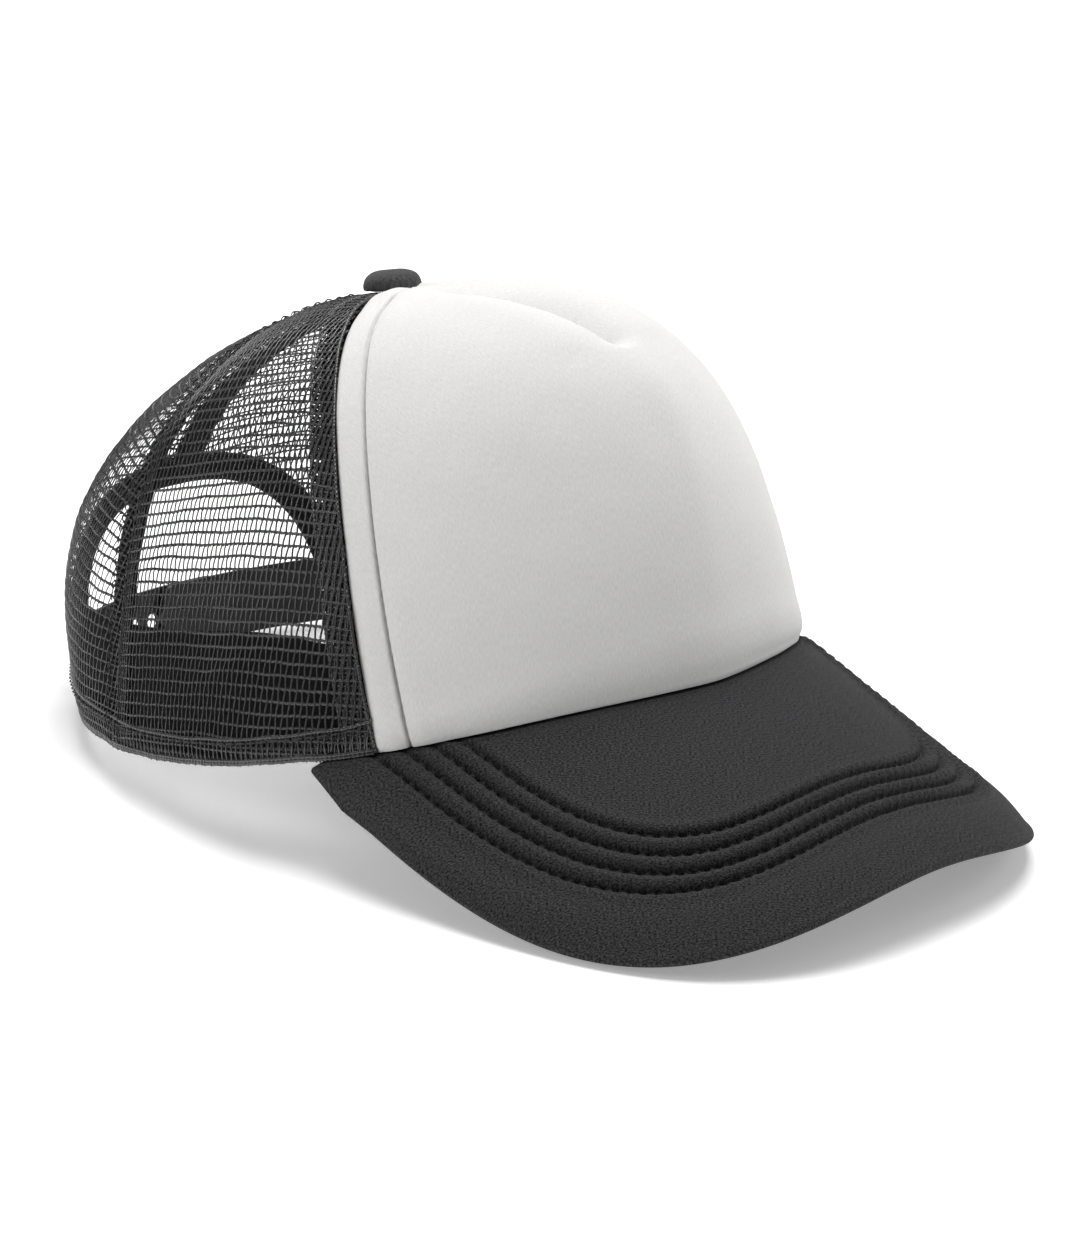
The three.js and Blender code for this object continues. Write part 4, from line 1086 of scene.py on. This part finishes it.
def brim_covers():
    columns, dense = ((500, 100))
    s = np.linspace(-1, 1, columns)
    s = 0.985 * (0.72 * s + 0.28 * np.sin(s * math.pi / 2))
    angle = s * BRIM_END
    rim = np.stack(plan(angle), -1)
    root = rim - crown_normal(angle, np.zeros(columns))[:, :2] * FLANGE
    edge = brim_edge(s)
    reach = np.linalg.norm(edge - rim, axis=-1)
    e = edge_distances(reach + FLANGE, dense)
    reach = reach[:, None]
    # each column runs from the edge to the rim, then along the flange inside the crown
    inside = e > reach
    on_flange = np.where(inside, (e - reach) / FLANGE, 0)[..., None]
    on_brim = np.where(inside, 1, e / reach)[..., None]
    xy = np.where(inside[..., None], rim[:, None] * (1 - on_flange) + root[:, None] * on_flange,
                  edge[:, None] * (1 - on_brim) + rim[:, None] * on_brim)
    x, y = xy[..., 0], xy[..., 1]
    at_rim = brim_height(*rim.T)[:, None]
    settle = np.maximum(0, at_rim - rim_height(angle)[:, None])
    near = 1 - ease((reach - e) / SETTLE_LENGTH)
    z = np.where(inside, at_rim - settle, brim_height(x, y) - settle * near)
    top = np.concatenate([xy, z[..., None]], -1)
    b = beyond_rim(x, y)
    lean = (ease(b / 12 + 0.35) * np.minimum(1, reach / 18))[..., None]
    up = unit(np.array([0, 0, 1.0]) * (1 - lean) + brim_up(x) * lean)
    # the two faces meet on the rolled edge and at the ends
    roll = np.sqrt(1 - (1 - np.clip(e / EDGE_ROLL, 0, 1)) ** 2)
    start, length = END_ROUND
    past = np.maximum(np.abs(s) - start, 0) / length
    close = roll * np.sqrt(np.clip(1 - past ** 2, 0, 1))[:, None]
    half = BRIM_THICK / 2
    relief = brim_relief(x, y, e) * (0.35 + 0.65 * ease(b / 2 + 0.2)) * ease(e / 2.6)
    upper = top - up * (half - (half + relief) * close)[..., None]
    uv = np.stack([x * SLOPE_X, y * SLOPE_Y], -1)
    o = cap_piece("brim_upper", upper, grid_faces(*e.shape)[:, ::-1], TWILL, "brim_twill",
                  "brim_top_cover", "brim_padding", uv=uv)
    groove = sum(bell(d, (0.55, 0.0, 0.9)) for d, _ in row_distance(x, y))
    swell = 0.12 * wobble(top, 36.0, 73)
    lower = top - up * (half + (half + swell - groove * ease(b / 3)) * close)[..., None]
    o = cap_piece("brim_lower", lower, grid_faces(*e.shape), TWILL, "brim_twill",
                  "brim_under_cover", uv=uv + 200)


def brim_threads():
    """Each row is sewn through: one line of stitches above and one below."""
    for k, (r, _) in enumerate(ROW_PATHS):
        r = r[beyond_rim(r[:, 0], r[:, 1]) > 0.4]
        x, y = r.T
        p = np.stack([x, y, brim_height(x, y)], -1)
        n = brim_up(x)
        above = p + n * (brim_relief(x, y, np.full(len(r), 20.0)) + 0.10)[..., None]
        below = p - n * (BRIM_THICK - 0.5)
        parts = [stitches(above, n, "brim"), stitches(below, -n, "brim")]
        cap_piece(f"brim_thread_{k + 1}", *join(parts), BLACK_THREAD, "black_thread",
                  f"brim_stitch_row_{k + 1}")


brim_covers()
brim_threads()

# ---------- button
BUTTON_R, BUTTON_RISE, BUTTON_SIDE = 7.6, 4.3, 1.1
BUTTON_SEGMENTS, BUTTON_PLEATS = 72, 14


def button():
    a = np.linspace(0, math.pi / 2, 26)
    radius = np.concatenate([[6.0, 7.0, 7.5], BUTTON_R * np.cos(a) ** 0.62])
    height = np.concatenate([[0.36, 0.36, 0.6], BUTTON_SIDE + BUTTON_RISE * np.sin(a) ** 0.9])
    turn = np.linspace(0, 2 * math.pi, BUTTON_SEGMENTS, endpoint=False)
    r, turn = np.meshgrid(radius, turn, indexing="ij")
    z = np.broadcast_to(height[:, None], r.shape)
    pleated = r + np.cos(turn * BUTTON_PLEATS) * bell(z, (0.10, 1.2, 1.3))
    p = np.stack([pleated * np.cos(turn), pleated * np.sin(turn) + BUTTON_Y, z + CROWN_HEIGHT], -1)
    p[..., 2] += 0.07 * wobble(p, 8.0, 81)
    uv = np.stack([r * np.cos(turn), r * np.sin(turn)], -1)
    cap_piece("button_fabric", p, grid_faces(*r.shape, wrap=True), BUTTON_CLOTH_PAINTED_HIGHLIGHT, "brim_twill",
              "button_cover", uv=uv)


button()


# ---------- hard parts keep their CAD shape
def dress(nodes, material, bevel=0.0):
    for node in nodes:
        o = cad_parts[node]
        o.data.materials.clear()
        o.data.materials.append(material)
        if bevel:
            b = o.modifiers.new("soft_edge", "BEVEL")
            b.width = bevel
            b.segments = 2
            b.limit_method = "ANGLE"
            b.angle_limit = 40 * DEGREE


dress(("snap_strap_holes", "snap_strap_pegs", "strap_end_right", "strap_end_left"), PLASTIC, 0.0003)
dress(("button_rivet", "button_washer"), METAL, 0.00015)
dress(("brim_board",), BOARD)

# ---------- studio, in metres
FLOOR_HALF, FLOOR_GLOW, SKY = 6.0, 0.28, 0.22
# of each light: place, target height, size and watts
LIGHTS = {
    "key": ((0.3, 0.25, 2.0), 0.0, 1.3, 40),
    "right": ((1.6, -0.5, 0.8), 0.06, 0.8, 6.5),
    "left": ((-1.6, 0.7, 0.9), 0.05, 0.6, 4.5),
    "back": ((0.3, 1.6, 1.0), 0.06, 1.0, 5),
}


def make_floor():
    m, _, b = new_material("floor", (0.93, 0.93, 0.93), 0.9, spec=0.1)
    set_inputs(b, {"Emission Color": (1, 1, 1, 1), "Emission Strength": FLOOR_GLOW})
    s = FLOOR_HALF
    o = add_object("floor", [(-s, -s, 0), (s, -s, 0), (s, s, 0), (-s, s, 0)], [[0, 1, 2, 3]], m)
    o.location.z = -0.0003


def make_sky():
    world = bpy.data.worlds.new("studio")
    bpy.context.scene.world = world
    world.use_nodes = True
    set_inputs(world.node_tree.nodes["Background"], {"Color": (1, 1, 1, 1), "Strength": SKY})


def make_lights():
    for name, (where, height, size, watts) in LIGHTS.items():
        light = bpy.data.lights.new(name, "AREA")
        light.size = size
        light.energy = watts
        o = new_object(name, light)
        o.location = where
        aim = Vector((0, 0, height)) - Vector(where)
        o.rotation_euler = aim.to_track_quat("-Z", "Y").to_euler()


def make_camera():
    """A long lens, off to the wearer's front right, with its picture shifted."""
    data = bpy.data.cameras.new("camera")
    data.sensor_width = 36
    data.lens = 99.227
    data.shift_x = -0.04718
    data.shift_y = -0.07351
    data.clip_start = 0.01
    o = new_object("camera", data)
    turn = Euler([a * DEGREE for a in (73.5336, -3.5152, -47.3907)]).to_matrix().to_4x4()
    o.matrix_world = Matrix.Translation((-0.611156, -0.565532, 0.311828)) @ turn
    bpy.context.scene.camera = o


make_floor()
make_sky()
make_lights()
make_camera()
bpy.context.scene.view_settings.view_transform = "Standard"
